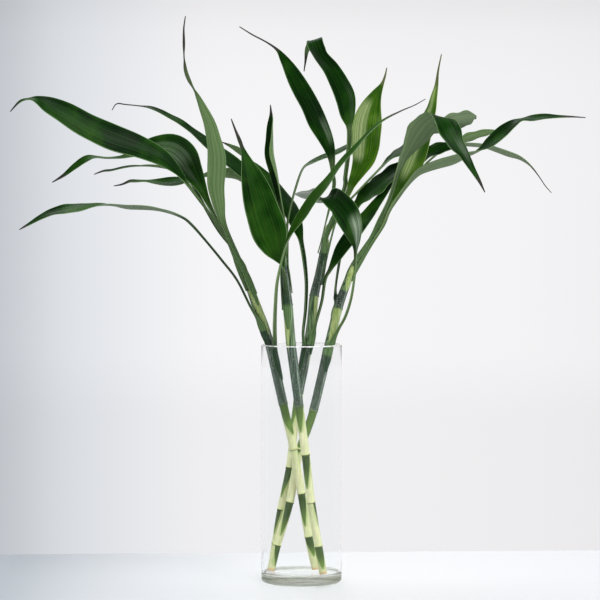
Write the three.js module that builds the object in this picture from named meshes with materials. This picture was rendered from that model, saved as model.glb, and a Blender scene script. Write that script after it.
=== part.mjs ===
// Four cut stems of lucky bamboo standing in a tall clear glass cylinder.
// Millimetres, +Z up. The origin is the centre of the vase's underside and
// +Y points away from the side that the plant is looked at from.
import * as THREE from 'three';
import { mergeVertices } from 'three/addons/utils/BufferGeometryUtils.js';

// Vase: a nominal 10 cm by 30 cm glass cylinder with a thick base.
const vaseRadius = 50.5;
const vaseHeight = 300;
const vaseWall = 2.8;
const vaseBase = 12;
const vaseFoot = 5;        // rounding under the outer edge
const vaseFillet = 2;      // rounding inside, where wall meets base
const vaseSides = 48;

// Stems: canes with raised nodes, thinning out inside the crown.
const stemSides = 10;
const nodeRise = 0.55;     // how far a node ring stands proud
const nodeReach = 1.6;     // half length of a node ring
const stemStep = 26;       // longest plain stretch between two sections
const tipLength = 7;       // closing cone at the top of a cane

// Leaves: a clasping base, a channelled stalk and a thin blade.
const bladeThickness = 0.8;
const baseThickness = 1.1;
const clearance = 0.8;     // air between a leaf base and the cane it clasps
const baseSections = 4;
const longestSpan = 21;    // a span of a leaf longer than this is halved
const bladeStrips = 4;

const glass = new THREE.MeshStandardMaterial({
  color: 0xe8eeee, roughness: 0.04, metalness: 0, transparent: true, opacity: 0.3 });
const cane = new THREE.MeshStandardMaterial({ color: 0x9db36a, roughness: 0.5, metalness: 0 });
const darkLeaf = new THREE.MeshStandardMaterial({ color: 0x1f4d16, roughness: 0.4, metalness: 0 });
const brightLeaf = new THREE.MeshStandardMaterial({ color: 0x4f8420, roughness: 0.4, metalness: 0 });

// Each cane: axis points from the cut foot to the crown, the heights of its
// nodes, and its radius at a few heights.
const stems = {
  stem_left: {
    axis: [[18, 8, 15], [9, 5, 57], [0, 1, 112], [-10, -3, 168], [-23, -7, 225],
      [-34, -9, 275], [-40, -10, 301], [-47, -14, 324], [-55, -18, 345], [-64, -21, 370],
      [-73, -23, 391], [-81, -25, 410], [-86, -26, 422]],
    nodes: [57, 112, 168, 225],
    radius: [[15, 5.1], [220, 5.2], [226, 5.7], [301, 5.9], [345, 5.9], [391, 4.4], [422, 2.6]],
  },
  stem_front: {
    axis: [[27, -31, 14], [21, -32, 49], [12, -33, 104], [5, -35, 164], [-3, -37, 224],
      [-9, -38, 270], [-13, -38, 302], [-15, -39, 325], [-17, -40, 351], [-19, -41, 373],
      [-21, -41, 397], [-22, -41, 415]],
    nodes: [49, 104, 164, 224, 351],
    radius: [[14, 4.9], [219, 5.3], [225, 5.6], [302, 6.1], [350, 6.1], [385, 4.6], [415, 2.6]],
  },
  stem_back: {
    axis: [[-38.5, 14, 14], [-33, 17, 47], [-26, 20, 89], [-15, 24, 142], [-9, 28, 196],
      [-3, 31, 238], [2, 34, 263], [8, 38, 294], [13, 41, 328], [16, 43, 358],
      [22, 45, 385], [27, 47, 412], [32, 49, 439], [34, 50, 450]],
    nodes: [47, 89, 142, 359, 412],
    radius: [[14, 4.9], [219, 5.2], [225, 5.6], [300, 6], [359, 6], [412, 4.6], [450, 2.6]],
  },
  stem_right: {
    axis: [[-38.6, 2, 14], [-31, 4, 46], [-15, 7, 100], [-3, 11, 163], [7, 14, 191],
      [15, 16, 215], [26, 18, 260], [35, 19, 299], [41, 22, 323], [46, 24, 344],
      [55, 26, 370], [64, 28, 391], [75, 30, 410], [88, 32, 431], [96, 33, 445]],
    nodes: [46, 100, 166, 215, 344],
    radius: [[14, 5.1], [210, 5.2], [216, 5.6], [299, 5.9], [344, 6], [400, 4.6], [445, 2.6]],
  },
};

// Each leaf: the cane it grows on, the heights where its base starts and where
// its stalk leaves the cane, the compass bearing of that side (0 is +X, 90 is
// +Y), and how far round it clasps, in degrees each way. Then the midrib from
// stalk to tip: x, y, z, width, curl and turn. Width is the flat width. Curl is
// the half angle of the trough, in radians. Turn says where the upper face
// looks, in degrees: 0 to the front, 180 to the back, and straight up at 90 on
// a leaf that points right or -90 on one that points left.
const leaves = {
  leaf_left_low: {
    base: ['stem_left', 303, 327, 236, 46],
    rib: [[-64.5, -29, 348, 7.5, 1.4, -90], [-81, -32, 381, 7.5, 1.4, -92],
      [-100, -35, 406, 7.5, 1.35, -95], [-121, -42, 432, 7.5, 1.3, -95],
      [-138, -48, 451, 9, 1.2, -98], [-150, -52, 460, 9, 0.9, -100],
      [-175, -60, 468, 17, 0.5, -103], [-206, -70, 471, 22, 0.35, -104],
      [-238, -82, 475, 24, 0.3, -92], [-266, -92, 473, 23, 0.3, -70],
      [-293, -100, 469, 19, 0.3, -56], [-313, -106, 463, 13, 0.35, -56],
      [-331, -110, 453, 7, 0.4, -60], [-344, -112, 446, 1, 0.4, -60]],
  },
  leaf_left_broad: {
    base: ['stem_left', 370, 404, 215, 34],
    rib: [[-90, -36, 424, 9, 1.4, -100], [-103, -40, 444, 9, 1.35, -95],
      [-116, -44, 465, 9.5, 1.3, -88], [-130, -48, 484, 10, 1.2, -80],
      [-142, -52, 500, 10, 1, -70], [-159, -56, 520, 20, 0.65, -50],
      [-177, -60, 535, 27, 0.45, -38], [-206, -66, 548, 34, 0.35, -32],
      [-236, -71, 559, 37, 0.3, -30], [-262, -76, 571, 35, 0.3, -30],
      [-289, -80, 587, 31, 0.3, -30], [-311, -83, 598, 24, 0.3, -34],
      [-324, -85, 604, 14, 0.35, -48], [-334, -86, 605, 8, 0.4, -72],
      [-345, -86, 602, 6, 0.4, -60], [-357, -85, 590, 1, 0.4, -60]],
  },
  leaf_left_arched: {
    base: ['stem_left', 372, 410, 120, 32],
    rib: [[-96, -19, 434, 9, 1.35, -92], [-107, -16, 455, 9, 1.3, -75],
      [-119, -11, 478, 12, 1.1, -46], [-129, -5, 499, 20, 0.85, -28],
      [-139, 1, 518, 31, 0.6, -16], [-149, 8, 535, 39, 0.45, -14],
      [-164, 15, 546, 38, 0.35, -22], [-184, 22, 547, 32, 0.3, -34],
      [-206, 29, 542, 27, 0.3, -55], [-227, 33, 534, 21, 0.35, -80],
      [-246, 36, 533, 17, 0.4, -90], [-260, 38, 534, 14, 0.4, -80],
      [-273, 39, 532, 12, 0.4, -45], [-287, 40, 523, 9, 0.4, -32],
      [-301, 41, 512, 5, 0.4, -32], [-316, 42, 503, 1, 0.4, -35]],
  },
  leaf_left_curled: {
    base: ['stem_left', 362, 404, 36, 25],
    rib: [[-103, -9, 440, 7.5, 1.35, -120], [-119, -2, 466, 7.5, 1.3, -118],
      [-130, 5, 486, 7.5, 1.2, -115], [-140, 12, 502, 10, 0.9, -112],
      [-153, 20, 515, 18, 0.5, -108], [-170, 30, 520, 19, 0.4, -98],
      [-192, 42, 523, 17, 0.35, -92], [-212, 52, 523, 14, 0.35, -86],
      [-228, 60, 521, 10, 0.4, -76], [-242, 66, 518, 7, 0.4, -70],
      [-253, 70, 517, 5, 0.4, -65], [-265, 73, 513, 1, 0.4, -60]],
  },
  leaf_left_upright: {
    base: ['stem_left', 350, 394, -64, 34],
    rib: [[-90, -48, 432, 9, 1.3, -158], [-98, -53, 454, 10, 1.15, -166],
      [-103, -57, 478, 17, 0.65, -172], [-106, -60, 499, 22, 0.4, -172],
      [-105, -63, 519, 23.5, 0.35, -172], [-105, -66, 536, 23, 0.35, -172],
      [-108, -68, 554, 19, 0.35, -172], [-113, -70, 575, 15, 0.35, -172],
      [-121, -71, 594, 10.5, 0.35, -168], [-127, -71, 607, 7, 0.4, -150],
      [-133, -70, 618, 5.5, 0.4, -110], [-139, -69, 630, 5.5, 0.4, -145],
      [-143, -67, 642, 5, 0.4, -150], [-145, -65, 658, 4, 0.4, -105],
      [-145, -63, 675, 3.6, 0.4, -145], [-145, -61, 693, 2, 0.4, -150],
      [-143, -60, 708, 1, 0.4, -150]],
  },
  leaf_crossing: {
    base: ['stem_left', 255, 290, -35, 55],
    rib: [[-32, -23, 306, 9, 1.25, 128], [-32, -32, 327, 9, 1.2, 120],
      [-31, -44, 352, 9, 1.2, 112], [-29, -60, 379, 9, 1.15, 104],
      [-24, -72, 405, 8, 1.05, 94], [-17, -79, 429, 12, 0.8, 80],
      [-7, -83, 449, 19, 0.55, 66], [4, -86, 466, 24, 0.4, 60],
      [15, -88, 482, 25, 0.35, 62], [30, -91, 501, 24, 0.3, 68],
      [48, -94, 525, 22, 0.3, 74], [69, -97, 549, 19, 0.3, 76],
      [86, -100, 567, 15, 0.35, 78], [102, -102, 580, 10, 0.4, 80],
      [123, -104, 591, 5, 0.4, 80], [137, -105, 597, 3, 0.4, 80],
      [151, -106, 605, 1, 0.4, 80]],
  },
  leaf_front_broad: {
    base: ['stem_front', 322, 356, -105, 38],
    rib: [[-22, -52, 381, 10, 1.25, -110], [-24, -56, 397, 11, 1, -80],
      [-29, -60, 411, 24, 0.65, -45], [-35, -63, 425, 37, 0.4, -28],
      [-41, -66, 443, 47, 0.28, -20], [-49, -67, 468, 44, 0.25, -18],
      [-56, -66, 492, 38, 0.25, -18], [-62, -64, 511, 28.5, 0.28, -18],
      [-68, -61, 530, 14, 0.35, -20], [-73, -58, 545, 5.5, 0.4, -20],
      [-77, -56, 556, 5, 0.4, -25], [-82, -53, 568, 3.5, 0.4, -50],
      [-87, -50, 582, 1, 0.4, -30]],
  },
  leaf_arching: {
    base: ['stem_front', 345, 388, 168, 28],
    rib: [[-26, -30, 412, 7.5, 1.35, -95], [-31, -20, 436, 7.5, 1.25, -85],
      [-41, -8, 466, 9, 1, -70], [-57, 4, 496, 17, 0.6, -55], [-76, 14, 517, 22, 0.4, -46],
      [-95, 24, 533, 23, 0.35, -46], [-122, 38, 554, 20, 0.35, -58],
      [-141, 48, 569, 16, 0.35, -62], [-154, 54, 579, 13, 0.35, -58],
      [-167, 59, 586, 10, 0.35, -55], [-180, 63, 593, 8, 0.4, -52],
      [-193, 67, 598, 6, 0.4, -55], [-207, 71, 600, 4, 0.4, -75],
      [-225, 75, 602, 3, 0.4, -70], [-236, 77, 603, 2, 0.4, -60],
      [-242, 78, 595, 1, 0.4, -60]],
  },
  leaf_level: {
    base: ['stem_front', 338, 380, 95, 30],
    rib: [[-23, -26, 404, 7.5, 1.35, -120], [-28, -8, 431, 7.5, 1.25, -120],
      [-40, 12, 462, 7, 1, -122], [-56, 34, 490, 13, 0.7, -125],
      [-77, 54, 508, 19, 0.45, -128], [-92, 66, 513, 22, 0.35, -124],
      [-112, 78, 512, 23, 0.35, -112], [-131, 88, 508, 22, 0.35, -85],
      [-151, 97, 504, 20, 0.35, -62], [-171, 105, 503, 17, 0.35, -50],
      [-186, 111, 503, 12, 0.4, -52], [-201, 116, 504, 7, 0.4, -70],
      [-213, 120, 504, 6, 0.4, -55], [-222, 122, 504, 5, 0.4, -45],
      [-232, 124, 500, 3, 0.4, -45], [-243, 126, 498, 1, 0.4, -45]],
  },
  leaf_folded: {
    base: ['stem_front', 386, 409, 72, 20],
    rib: [[-20, -33, 435, 9, 1.35, 20], [-22, -30, 455, 9.5, 1.3, 34],
      [-25, -26, 476, 10, 1.25, 50], [-28, -22, 497, 17, 1.2, 62],
      [-31, -18, 518, 27, 1.15, 72], [-35, -15, 539, 33, 1.1, 76],
      [-36, -13, 558, 24, 1.1, 70], [-37, -11, 574, 15, 1, 56],
      [-38, -10, 588, 4.5, 0.6, 30], [-39, -9, 600, 1, 0.4, 10]],
  },
  leaf_kinked: {
    base: ['stem_front', 365, 402, 12, 25],
    rib: [[-17, -27, 431, 6, 1.35, 60], [-17, -22, 450, 6, 1.3, 70],
      [-13, -14, 472, 6, 1.3, 76], [-7, -5, 495, 6, 1.3, 80], [2, 6, 519, 7, 1, 80],
      [13, 18, 527, 13, 0.55, 70], [28, 31, 534, 15, 0.4, 66], [45, 43, 541, 14, 0.35, 64],
      [62, 54, 550, 11, 0.35, 66], [77, 62, 558, 6, 0.4, 68], [90, 68, 562, 1, 0.4, 70]],
  },
  leaf_back_shaded: {
    base: ['stem_back', 255, 290, -150, 46],
    rib: [[1, 29.8, 314, 7.5, 1.3, -70], [4, 30, 343, 7.5, 1.3, -62],
      [5, 31, 376, 7.5, 1.3, -55], [2, 31, 406, 9, 1.2, -50], [-2, 31, 429, 10, 1, -46],
      [-7, 31, 447, 20, 0.6, -42], [-15, 32, 466, 27, 0.4, -40],
      [-28, 33, 484, 27, 0.35, -42], [-44, 35, 505, 24, 0.35, -50],
      [-60, 38, 524, 19, 0.35, -70], [-77, 41, 540, 15, 0.35, -120],
      [-89, 43, 548, 8, 0.4, -125], [-101, 45, 554, 1, 0.4, -120]],
  },
  leaf_top_left: {
    base: ['stem_back', 412, 446, 180, 32],
    rib: [[40, 44, 496, 6, 1.3, -35], [39, 38, 514, 6, 1.2, -28],
      [38, 30, 530, 9, 0.8, -22], [35, 22, 545, 15, 0.5, -20],
      [29, 13, 560, 21, 0.35, -20], [19, 2, 580, 26, 0.3, -22],
      [10, -8, 599, 26, 0.28, -24], [-1, -17, 619, 25, 0.28, -25],
      [-13, -25, 640, 20, 0.3, -26], [-23, -31, 657, 11.5, 0.35, -28],
      [-31, -34, 668, 4.5, 0.4, -40], [-44, -37, 677, 3, 0.4, -60],
      [-61, -39, 686, 2, 0.4, -50], [-77, -40, 696, 1, 0.4, -45]],
  },
  leaf_top_hooked: {
    base: ['stem_back', 398, 436, -85, 32],
    rib: [[52, 42, 493, 9.5, 1.3, -60], [54, 35, 511, 9.5, 1.25, -55],
      [57, 24, 536, 9.5, 1.25, -50], [59, 15, 559, 9.5, 1.15, -40],
      [59, 9, 573, 9.5, 1, -30], [57, 3, 589, 21, 0.6, -20], [54, -4, 609, 27, 0.4, -16],
      [47, -9, 626, 25, 0.32, -16], [37, -12, 644, 21.5, 0.3, -16],
      [25, -13, 659, 18.5, 0.3, -14], [20, -13, 669, 19.5, 0.22, -8],
      [17, -11, 676, 20.5, 0.16, -4], [16, -6, 681, 20.5, 0.12, null],
      [15, 0, 680, 18, 0.12, null], [11, 3, 675, 12, 0.2, null],
      [7, 4, 668, 7, 0.35, null], [5, 5, 655, 3, 0.4, null], [3, 6, 642, 1, 0.4, null]],
  },
  leaf_bright: {
    base: ['stem_back', 402, 440, 60, 32],
    rib: [[59, 47, 487, 9, 1.3, 20], [65, 46, 502, 13, 0.8, 15],
      [73, 42, 519, 21, 0.5, 12], [79, 37, 534, 30, 0.35, 10], [81, 32, 549, 36, 0.28, 8],
      [82, 28, 565, 37.5, 0.25, 8], [84, 24, 582, 36, 0.25, 8], [88, 21, 598, 27, 0.28, 8],
      [94, 18, 613, 15, 0.32, 8], [101, 16, 626, 5, 0.4, 10], [105, 15, 637, 2.5, 0.4, 30],
      [107, 14, 647, 1, 0.4, 30]],
    bright: true,
  },
  leaf_slim_right: {
    base: ['stem_back', 374, 412, -18, 26],
    rib: [[45, 36, 456, 6, 1.35, 80], [57, 33, 475, 6, 1.35, 82],
      [70, 32, 489, 6, 1.3, 84], [86, 34, 506, 6, 1.2, 84], [102, 43, 522, 7, 1, 80],
      [116, 55, 535, 14, 0.6, 62], [132, 66, 545, 20, 0.45, 58],
      [150, 75, 557, 24, 0.35, 80], [171, 82, 570, 26, 0.35, 110],
      [191, 87, 578, 26, 0.35, 140], [205, 91, 582, 24, 0.35, 158],
      [215, 93, 585, 18, 0.4, 160], [222, 95, 586, 8, 0.4, 160],
      [224, 96, 584, 1, 0.4, 160]],
  },
  leaf_low_right: {
    base: ['stem_back', 284, 312, -42, 40],
    rib: [[21.5, 31.5, 333, 7.5, 1.3, 75], [27, 31, 354, 7.5, 1.3, 70],
      [31, 31, 380, 7.5, 1.25, 62], [37, 31, 392, 9, 0.9, 52], [44, 31, 405, 15, 0.6, 44],
      [52, 32, 419, 21, 0.4, 40], [64, 35, 435, 24, 0.35, 40], [75, 40, 450, 23, 0.32, 42],
      [87, 46, 464, 20, 0.32, 44], [98, 53, 479, 15, 0.35, 46],
      [109, 60, 493, 10, 0.4, 50], [118, 66, 506, 5, 0.4, 55], [126, 71, 517, 1, 0.4, 60]],
  },
  leaf_bent_over: {
    base: ['stem_right', 265, 298, -60, 45],
    rib: [[47, 9, 317, 7.5, 1.3, 120], [56, 4, 334, 7.5, 1.3, 112],
      [63, -6, 357, 7.5, 1.3, 105], [67, -19, 385, 7.5, 1.25, 92],
      [68, -30, 405, 8, 1.15, 75], [68, -38, 421, 9, 0.95, 50],
      [66, -46, 434, 17, 0.6, 20], [62, -54, 449, 27, 0.4, -5],
      [55, -61, 464, 35, 0.3, -22], [44, -67, 477, 38, 0.28, -38],
      [36, -70, 482, 37, 0.26, -46], [27, -68, 484, 34, 0.24, -80],
      [19, -61, 486, 26, 0.26, -130], [9, -56, 487, 14, 0.36, -152],
      [-1, -54, 488, 9.5, 0.4, -145], [-9, -53, 489, 1, 0.4, -135]],
  },
  leaf_right_dark: {
    base: ['stem_right', 322, 350, 110, 42],
    rib: [[44, 36.5, 368, 7.5, 1.3, 85], [48, 42, 396, 7.5, 1.3, 80],
      [53, 47, 421, 7.5, 1.3, 72], [61, 52, 446, 9, 1.1, 64], [70, 56, 469, 14, 0.7, 50],
      [82, 60, 486, 24, 0.4, 42], [96, 63, 498, 27, 0.32, 42], [114, 67, 512, 27, 0.3, 46],
      [133, 71, 523, 26, 0.3, 50], [153, 75, 535, 25, 0.3, 50],
      [171, 79, 543, 23, 0.3, 50], [187, 83, 549, 20, 0.32, 58],
      [203, 87, 555, 18, 0.32, 110], [220, 90, 561, 16, 0.35, 135],
      [237, 93, 566, 11, 0.38, 140], [251, 95, 569, 2, 0.4, 140]],
  },
  leaf_right_fallen: {
    base: ['stem_right', 398, 436, -110, 30],
    rib: [[108.5, 33, 472, 10, 1.3, 112], [116, 31, 491, 10, 1.2, 118],
      [122, 28, 512, 10, 1, 128], [130, 24, 531, 16, 0.75, 138],
      [140, 18, 549, 26, 0.5, 144], [149, 11, 563, 41, 0.35, 142],
      [158, 4, 575, 42, 0.26, 138], [167, -6, 583, 41, 0.2, null],
      [173, -19, 585, 40, 0.18, null], [178, -31, 578, 38, 0.2, null],
      [185, -38, 564, 29, 0.26, 26], [193, -42, 549, 20, 0.3, 24],
      [202, -44, 536, 14, 0.32, 22], [210, -47, 522, 9, 0.35, 22],
      [220, -49, 505, 4.5, 0.4, 22], [227, -50, 491, 1, 0.4, 25]],
  },
  leaf_right_bright: {
    base: ['stem_right', 402, 436, 40, 28],
    rib: [[113, 42, 473, 10, 1.2, 60], [120, 44, 486, 14, 0.8, 45],
      [128, 46, 500, 21, 0.5, 34], [136, 48, 515, 26, 0.38, 26],
      [143, 50, 531, 28, 0.32, 20], [149, 51, 548, 27, 0.3, 18],
      [155, 52, 566, 23, 0.3, 18], [160, 51, 582, 18, 0.32, 18],
      [165, 50, 596, 13, 0.35, 20], [168, 49, 611, 9, 0.38, 20],
      [171, 48, 626, 5, 0.4, 20], [173, 46, 644, 2.5, 0.4, 30],
      [177, 44, 665, 1, 0.4, 30]],
    bright: true,
  },
  leaf_right_long: {
    base: ['stem_right', 380, 420, -35, 30],
    rib: [[104, 24, 447, 9.5, 1.3, 94], [111, 20, 464, 10.5, 1.25, 98],
      [120, 20, 480, 9.5, 1.15, 104], [130, 20, 493, 11, 1.05, 110],
      [140, 20, 505, 14, 0.95, 114], [149, 18, 513, 19, 0.85, 117],
      [160, 16, 518, 24, 0.75, 118], [177, 14, 524, 27, 0.62, 118],
      [190, 12, 528, 28, 0.55, 115], [203, 10, 533, 28, 0.48, 108],
      [223, 8, 542, 26, 0.4, 88], [238, 6, 553, 24, 0.35, 58], [253, 4, 566, 22, 0.32, 48],
      [266, 2, 576, 18, 0.35, 60], [277, 1, 581, 14, 0.38, 76],
      [290, -1, 583, 13, 0.35, 52], [305, -3, 585, 11, 0.35, 52],
      [321, -5, 585, 7, 0.4, 58], [337, -7, 585, 3.5, 0.4, 60],
      [355, -9, 584, 1, 0.4, 60]],
  },
  leaf_right_back: {
    base: ['stem_right', 376, 406, 125, 28],
    rib: [[96, 48, 440, 6, 1.35, 80], [114, 59, 468, 6, 1.35, 80],
      [129, 68, 489, 6, 1.3, 84], [149, 82, 515, 6, 1.2, 88], [173, 96, 537, 9, 0.9, 94],
      [194, 106, 548, 15, 0.55, 100], [215, 114, 550, 18, 0.4, 104],
      [236, 120, 548, 18, 0.35, 104], [253, 125, 543, 17, 0.35, 112],
      [269, 128, 538, 15, 0.35, 116], [283, 130, 533, 11, 0.38, 112],
      [296, 132, 524, 6, 0.4, 105], [307, 133, 511, 3, 0.4, 100],
      [316, 134, 498, 2, 0.4, 100], [324, 134, 489, 1, 0.4, 100]],
  },
};

const front = new THREE.Vector3(0, -1, 0);

// Straight-line lookup in a list of [place, value] pairs.
function lookUp(pairs, place) {
  for (let i = 1; i < pairs.length; i++) {
    if (place <= pairs[i][0] || i === pairs.length - 1) {
      const [p0, v0] = pairs[i - 1];
      const [p1, v1] = pairs[i];
      return v0 + (v1 - v0) * THREE.MathUtils.clamp((place - p0) / (p1 - p0), 0, 1);
    }
  }
  return pairs[0][1];
}

// A smooth curve through rows of any length, one component at a time.
function throughRows(rows) {
  const last = rows.length - 1;
  return (t) => {
    const i = Math.min(Math.floor(t), last - 1);
    const f = t - i;
    const r0 = rows[Math.max(i - 1, 0)];
    const r1 = rows[i];
    const r2 = rows[i + 1];
    const r3 = rows[Math.min(i + 2, last)];
    return r1.map((value, k) => {
      const m1 = (r2[k] - r0[k]) / 2;
      const m2 = (r3[k] - value) / 2;
      const f2 = f * f;
      const f3 = f2 * f;
      return (2 * f3 - 3 * f2 + 1) * value + (f3 - 2 * f2 + f) * m1
        + (3 * f2 - 2 * f3) * r2[k] + (f3 - f2) * m2;
    });
  };
}

// The point of a cane's axis at a height, and the axis direction there.
function caneAt(stem, height) {
  const curve = throughRows(stem.axis);
  let low = 0;
  let high = stem.axis.length - 1;
  for (let i = 0; i < 40; i++) {
    const mid = (low + high) / 2;
    if (curve(mid)[2] < height) low = mid;
    else high = mid;
  }
  const point = new THREE.Vector3(...curve(low));
  const ahead = new THREE.Vector3(...curve(Math.min(low + 0.05, stem.axis.length - 1)));
  const behind = new THREE.Vector3(...curve(Math.max(low - 0.05, 0)));
  return { point, along: ahead.sub(behind).normalize() };
}

// A cane's radius at a height, node rings included.
function caneRadius(stem, height) {
  let radius = lookUp(stem.radius, height);
  for (const node of stem.nodes) {
    radius += nodeRise * Math.exp(-(((height - node) / nodeReach) ** 2));
  }
  return radius;
}

// Skin a stack of equal closed rings, with a fan over each end.
function skinRings(rings) {
  const sides = rings[0].length;
  const positions = rings.flat().flatMap((p) => [p.x, p.y, p.z]);
  const faces = [];
  for (let r = 0; r + 1 < rings.length; r++) {
    for (let s = 0; s < sides; s++) {
      const a = r * sides + s;
      const b = r * sides + (s + 1) % sides;
      faces.push(a, b, b + sides, a, b + sides, a + sides);
    }
  }
  for (const [first, turned] of [[0, true], [(rings.length - 1) * sides, false]]) {
    for (let s = 1; s + 1 < sides; s++) {
      faces.push(first, first + s + (turned ? 1 : 0), first + s + (turned ? 0 : 1));
    }
  }
  const geometry = new THREE.BufferGeometry();
  geometry.setAttribute('position', new THREE.Float32BufferAttribute(positions, 3));
  geometry.setIndex(faces);
  return geometry;
}

function makeVase() {
  const profile = new THREE.Path();
  const inner = vaseRadius - vaseWall;
  const lip = vaseWall / 2;
  profile.moveTo(0, 0);
  profile.lineTo(vaseRadius - vaseFoot, 0);
  profile.absarc(vaseRadius - vaseFoot, vaseFoot, vaseFoot, -Math.PI / 2, 0, false);
  profile.lineTo(vaseRadius, vaseHeight - lip);
  profile.absarc(vaseRadius - lip, vaseHeight - lip, lip, 0, Math.PI, false);
  profile.lineTo(inner, vaseBase + vaseFillet);
  profile.absarc(inner - vaseFillet, vaseBase + vaseFillet, vaseFillet, 0, -Math.PI / 2, true);
  profile.lineTo(0, vaseBase);
  const points = profile.getPoints(2);
  const geometry = new THREE.LatheGeometry(points, vaseSides);
  geometry.rotateX(Math.PI / 2);
  geometry.deleteAttribute('normal');
  geometry.deleteAttribute('uv');
  return mergeVertices(geometry, 1e-4);
}

function makeStem(stem) {
  const foot = stem.axis[0][2];
  const top = stem.axis[stem.axis.length - 1][2];
  const heights = new Set([foot, top - tipLength, top - tipLength / 3, top]);
  for (const node of stem.nodes) {
    for (const offset of [-2.2, -0.9, 0, 0.9, 2.2]) heights.add(node + offset * nodeReach);
  }
  const sorted = [...heights].sort((a, b) => a - b);
  const places = [];
  for (let i = 0; i + 1 < sorted.length; i++) {
    const pieces = Math.ceil((sorted[i + 1] - sorted[i]) / stemStep);
    for (let k = 0; k < pieces; k++) {
      places.push(sorted[i] + (sorted[i + 1] - sorted[i]) * k / pieces);
    }
  }
  places.push(top);
  const rings = places.map((height) => {
    const { point, along } = caneAt(stem, height);
    const side = new THREE.Vector3().crossVectors(front, along).normalize();
    const other = new THREE.Vector3().crossVectors(along, side);
    let radius = caneRadius(stem, height);
    if (height > top - tipLength / 2) radius *= height > top - 0.01 ? 0.3 : 0.8;
    return Array.from({ length: stemSides }, (_, s) => {
      const angle = 2 * Math.PI * s / stemSides;
      return point.clone()
        .addScaledVector(side, radius * Math.cos(angle))
        .addScaledVector(other, radius * Math.sin(angle));
    });
  });
  return skinRings(rings);
}

// The frame of a leaf at one place: along it, out of its upper face, across it.
function leafFrame(along, turn) {
  const toFront = front.clone().addScaledVector(along, -front.dot(along)).normalize();
  const swing = new THREE.Vector3().crossVectors(toFront, along);
  const out = toFront.multiplyScalar(Math.cos(turn)).addScaledVector(swing, Math.sin(turn));
  return { out, across: new THREE.Vector3().crossVectors(along, out) };
}

// The rows where a leaf's base lies against its cane.
function baseRows([stemName, from, to, bearing, clasp]) {
  const stem = stems[stemName];
  const angle = THREE.MathUtils.degToRad(bearing);
  const curl = THREE.MathUtils.degToRad(clasp);
  return Array.from({ length: baseSections }, (_, i) => {
    const height = from + (to - from) * i / (baseSections - 1);
    const { point, along } = caneAt(stem, height);
    const outward = new THREE.Vector3(Math.cos(angle), Math.sin(angle), 0);
    outward.addScaledVector(along, -outward.dot(along)).normalize();
    const reach = caneRadius(stem, height) + clearance + baseThickness / 2;
    const place = point.addScaledVector(outward, reach);
    const { out } = leafFrame(along, 0);
    const swing = new THREE.Vector3().crossVectors(out, along);
    const inward = outward.clone().negate();
    const turn = THREE.MathUtils.radToDeg(Math.atan2(inward.dot(swing), inward.dot(out)));
    return [place.x, place.y, place.z, 2 * curl * reach, curl, turn];
  });
}

function heading(curve, t, last) {
  const ahead = new THREE.Vector3(...curve(Math.min(t + 0.02, last)).slice(0, 3));
  const behind = new THREE.Vector3(...curve(Math.max(t - 0.02, 0)).slice(0, 3));
  return ahead.sub(behind).normalize();
}

// Rows with the way the upper face looks in place of the turn. Where the turn is left open,
// the leaf bends on without any twist.
function facedRows(rows) {
  const path = throughRows(rows.map((row) => row.slice(0, 3)));
  let across = null;
  return rows.map((row, i) => {
    const along = heading(path, i, rows.length - 1);
    let out = null;
    if (row[5] === null) {
      across = across.clone().addScaledVector(along, -across.dot(along)).normalize();
      out = new THREE.Vector3().crossVectors(across, along);
    } else {
      ({ out, across } = leafFrame(along, THREE.MathUtils.degToRad(row[5])));
    }
    return [...row.slice(0, 5), ...out.toArray()];
  });
}

function makeLeaf(leaf) {
  const rows = facedRows([...baseRows(leaf.base), ...leaf.rib]);
  const curve = throughRows(rows);
  const places = [];
  for (let i = 0; i + 1 < rows.length; i++) {
    const span = Math.hypot(...[0, 1, 2].map((k) => rows[i + 1][k] - rows[i][k]));
    places.push(i);
    if (span > longestSpan) places.push(i + 0.5);
  }
  places.push(rows.length - 1);
  const rings = places.map((t) => {
    const [x, y, z, width, curl, ...facing] = curve(t);
    const along = heading(curve, t, rows.length - 1);
    const out = new THREE.Vector3(...facing);
    out.addScaledVector(along, -out.dot(along)).normalize();
    const across = new THREE.Vector3().crossVectors(along, out);
    const half = Math.max(width, 1) / 2;
    const bend = Math.max(curl, 0.05);
    const thick = THREE.MathUtils.lerp(bladeThickness, baseThickness,
      THREE.MathUtils.smoothstep(bend, 0.7, 1.3)) / 2;
    const upper = [];
    const lower = [];
    for (let s = 0; s <= bladeStrips; s++) {
      const angle = bend * (2 * s / bladeStrips - 1);
      const middle = new THREE.Vector3(x, y, z)
        .addScaledVector(across, half * Math.sin(angle) / bend)
        .addScaledVector(out, half * (1 - Math.cos(angle)) / bend);
      const normal = out.clone().multiplyScalar(Math.cos(angle))
        .addScaledVector(across, -Math.sin(angle));
      upper.push(middle.clone().addScaledVector(normal, thick));
      lower.push(middle.addScaledVector(normal, -thick));
    }
    return [...upper, ...lower.reverse()];
  });
  return stitchLeaf(rings);
}

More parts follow.
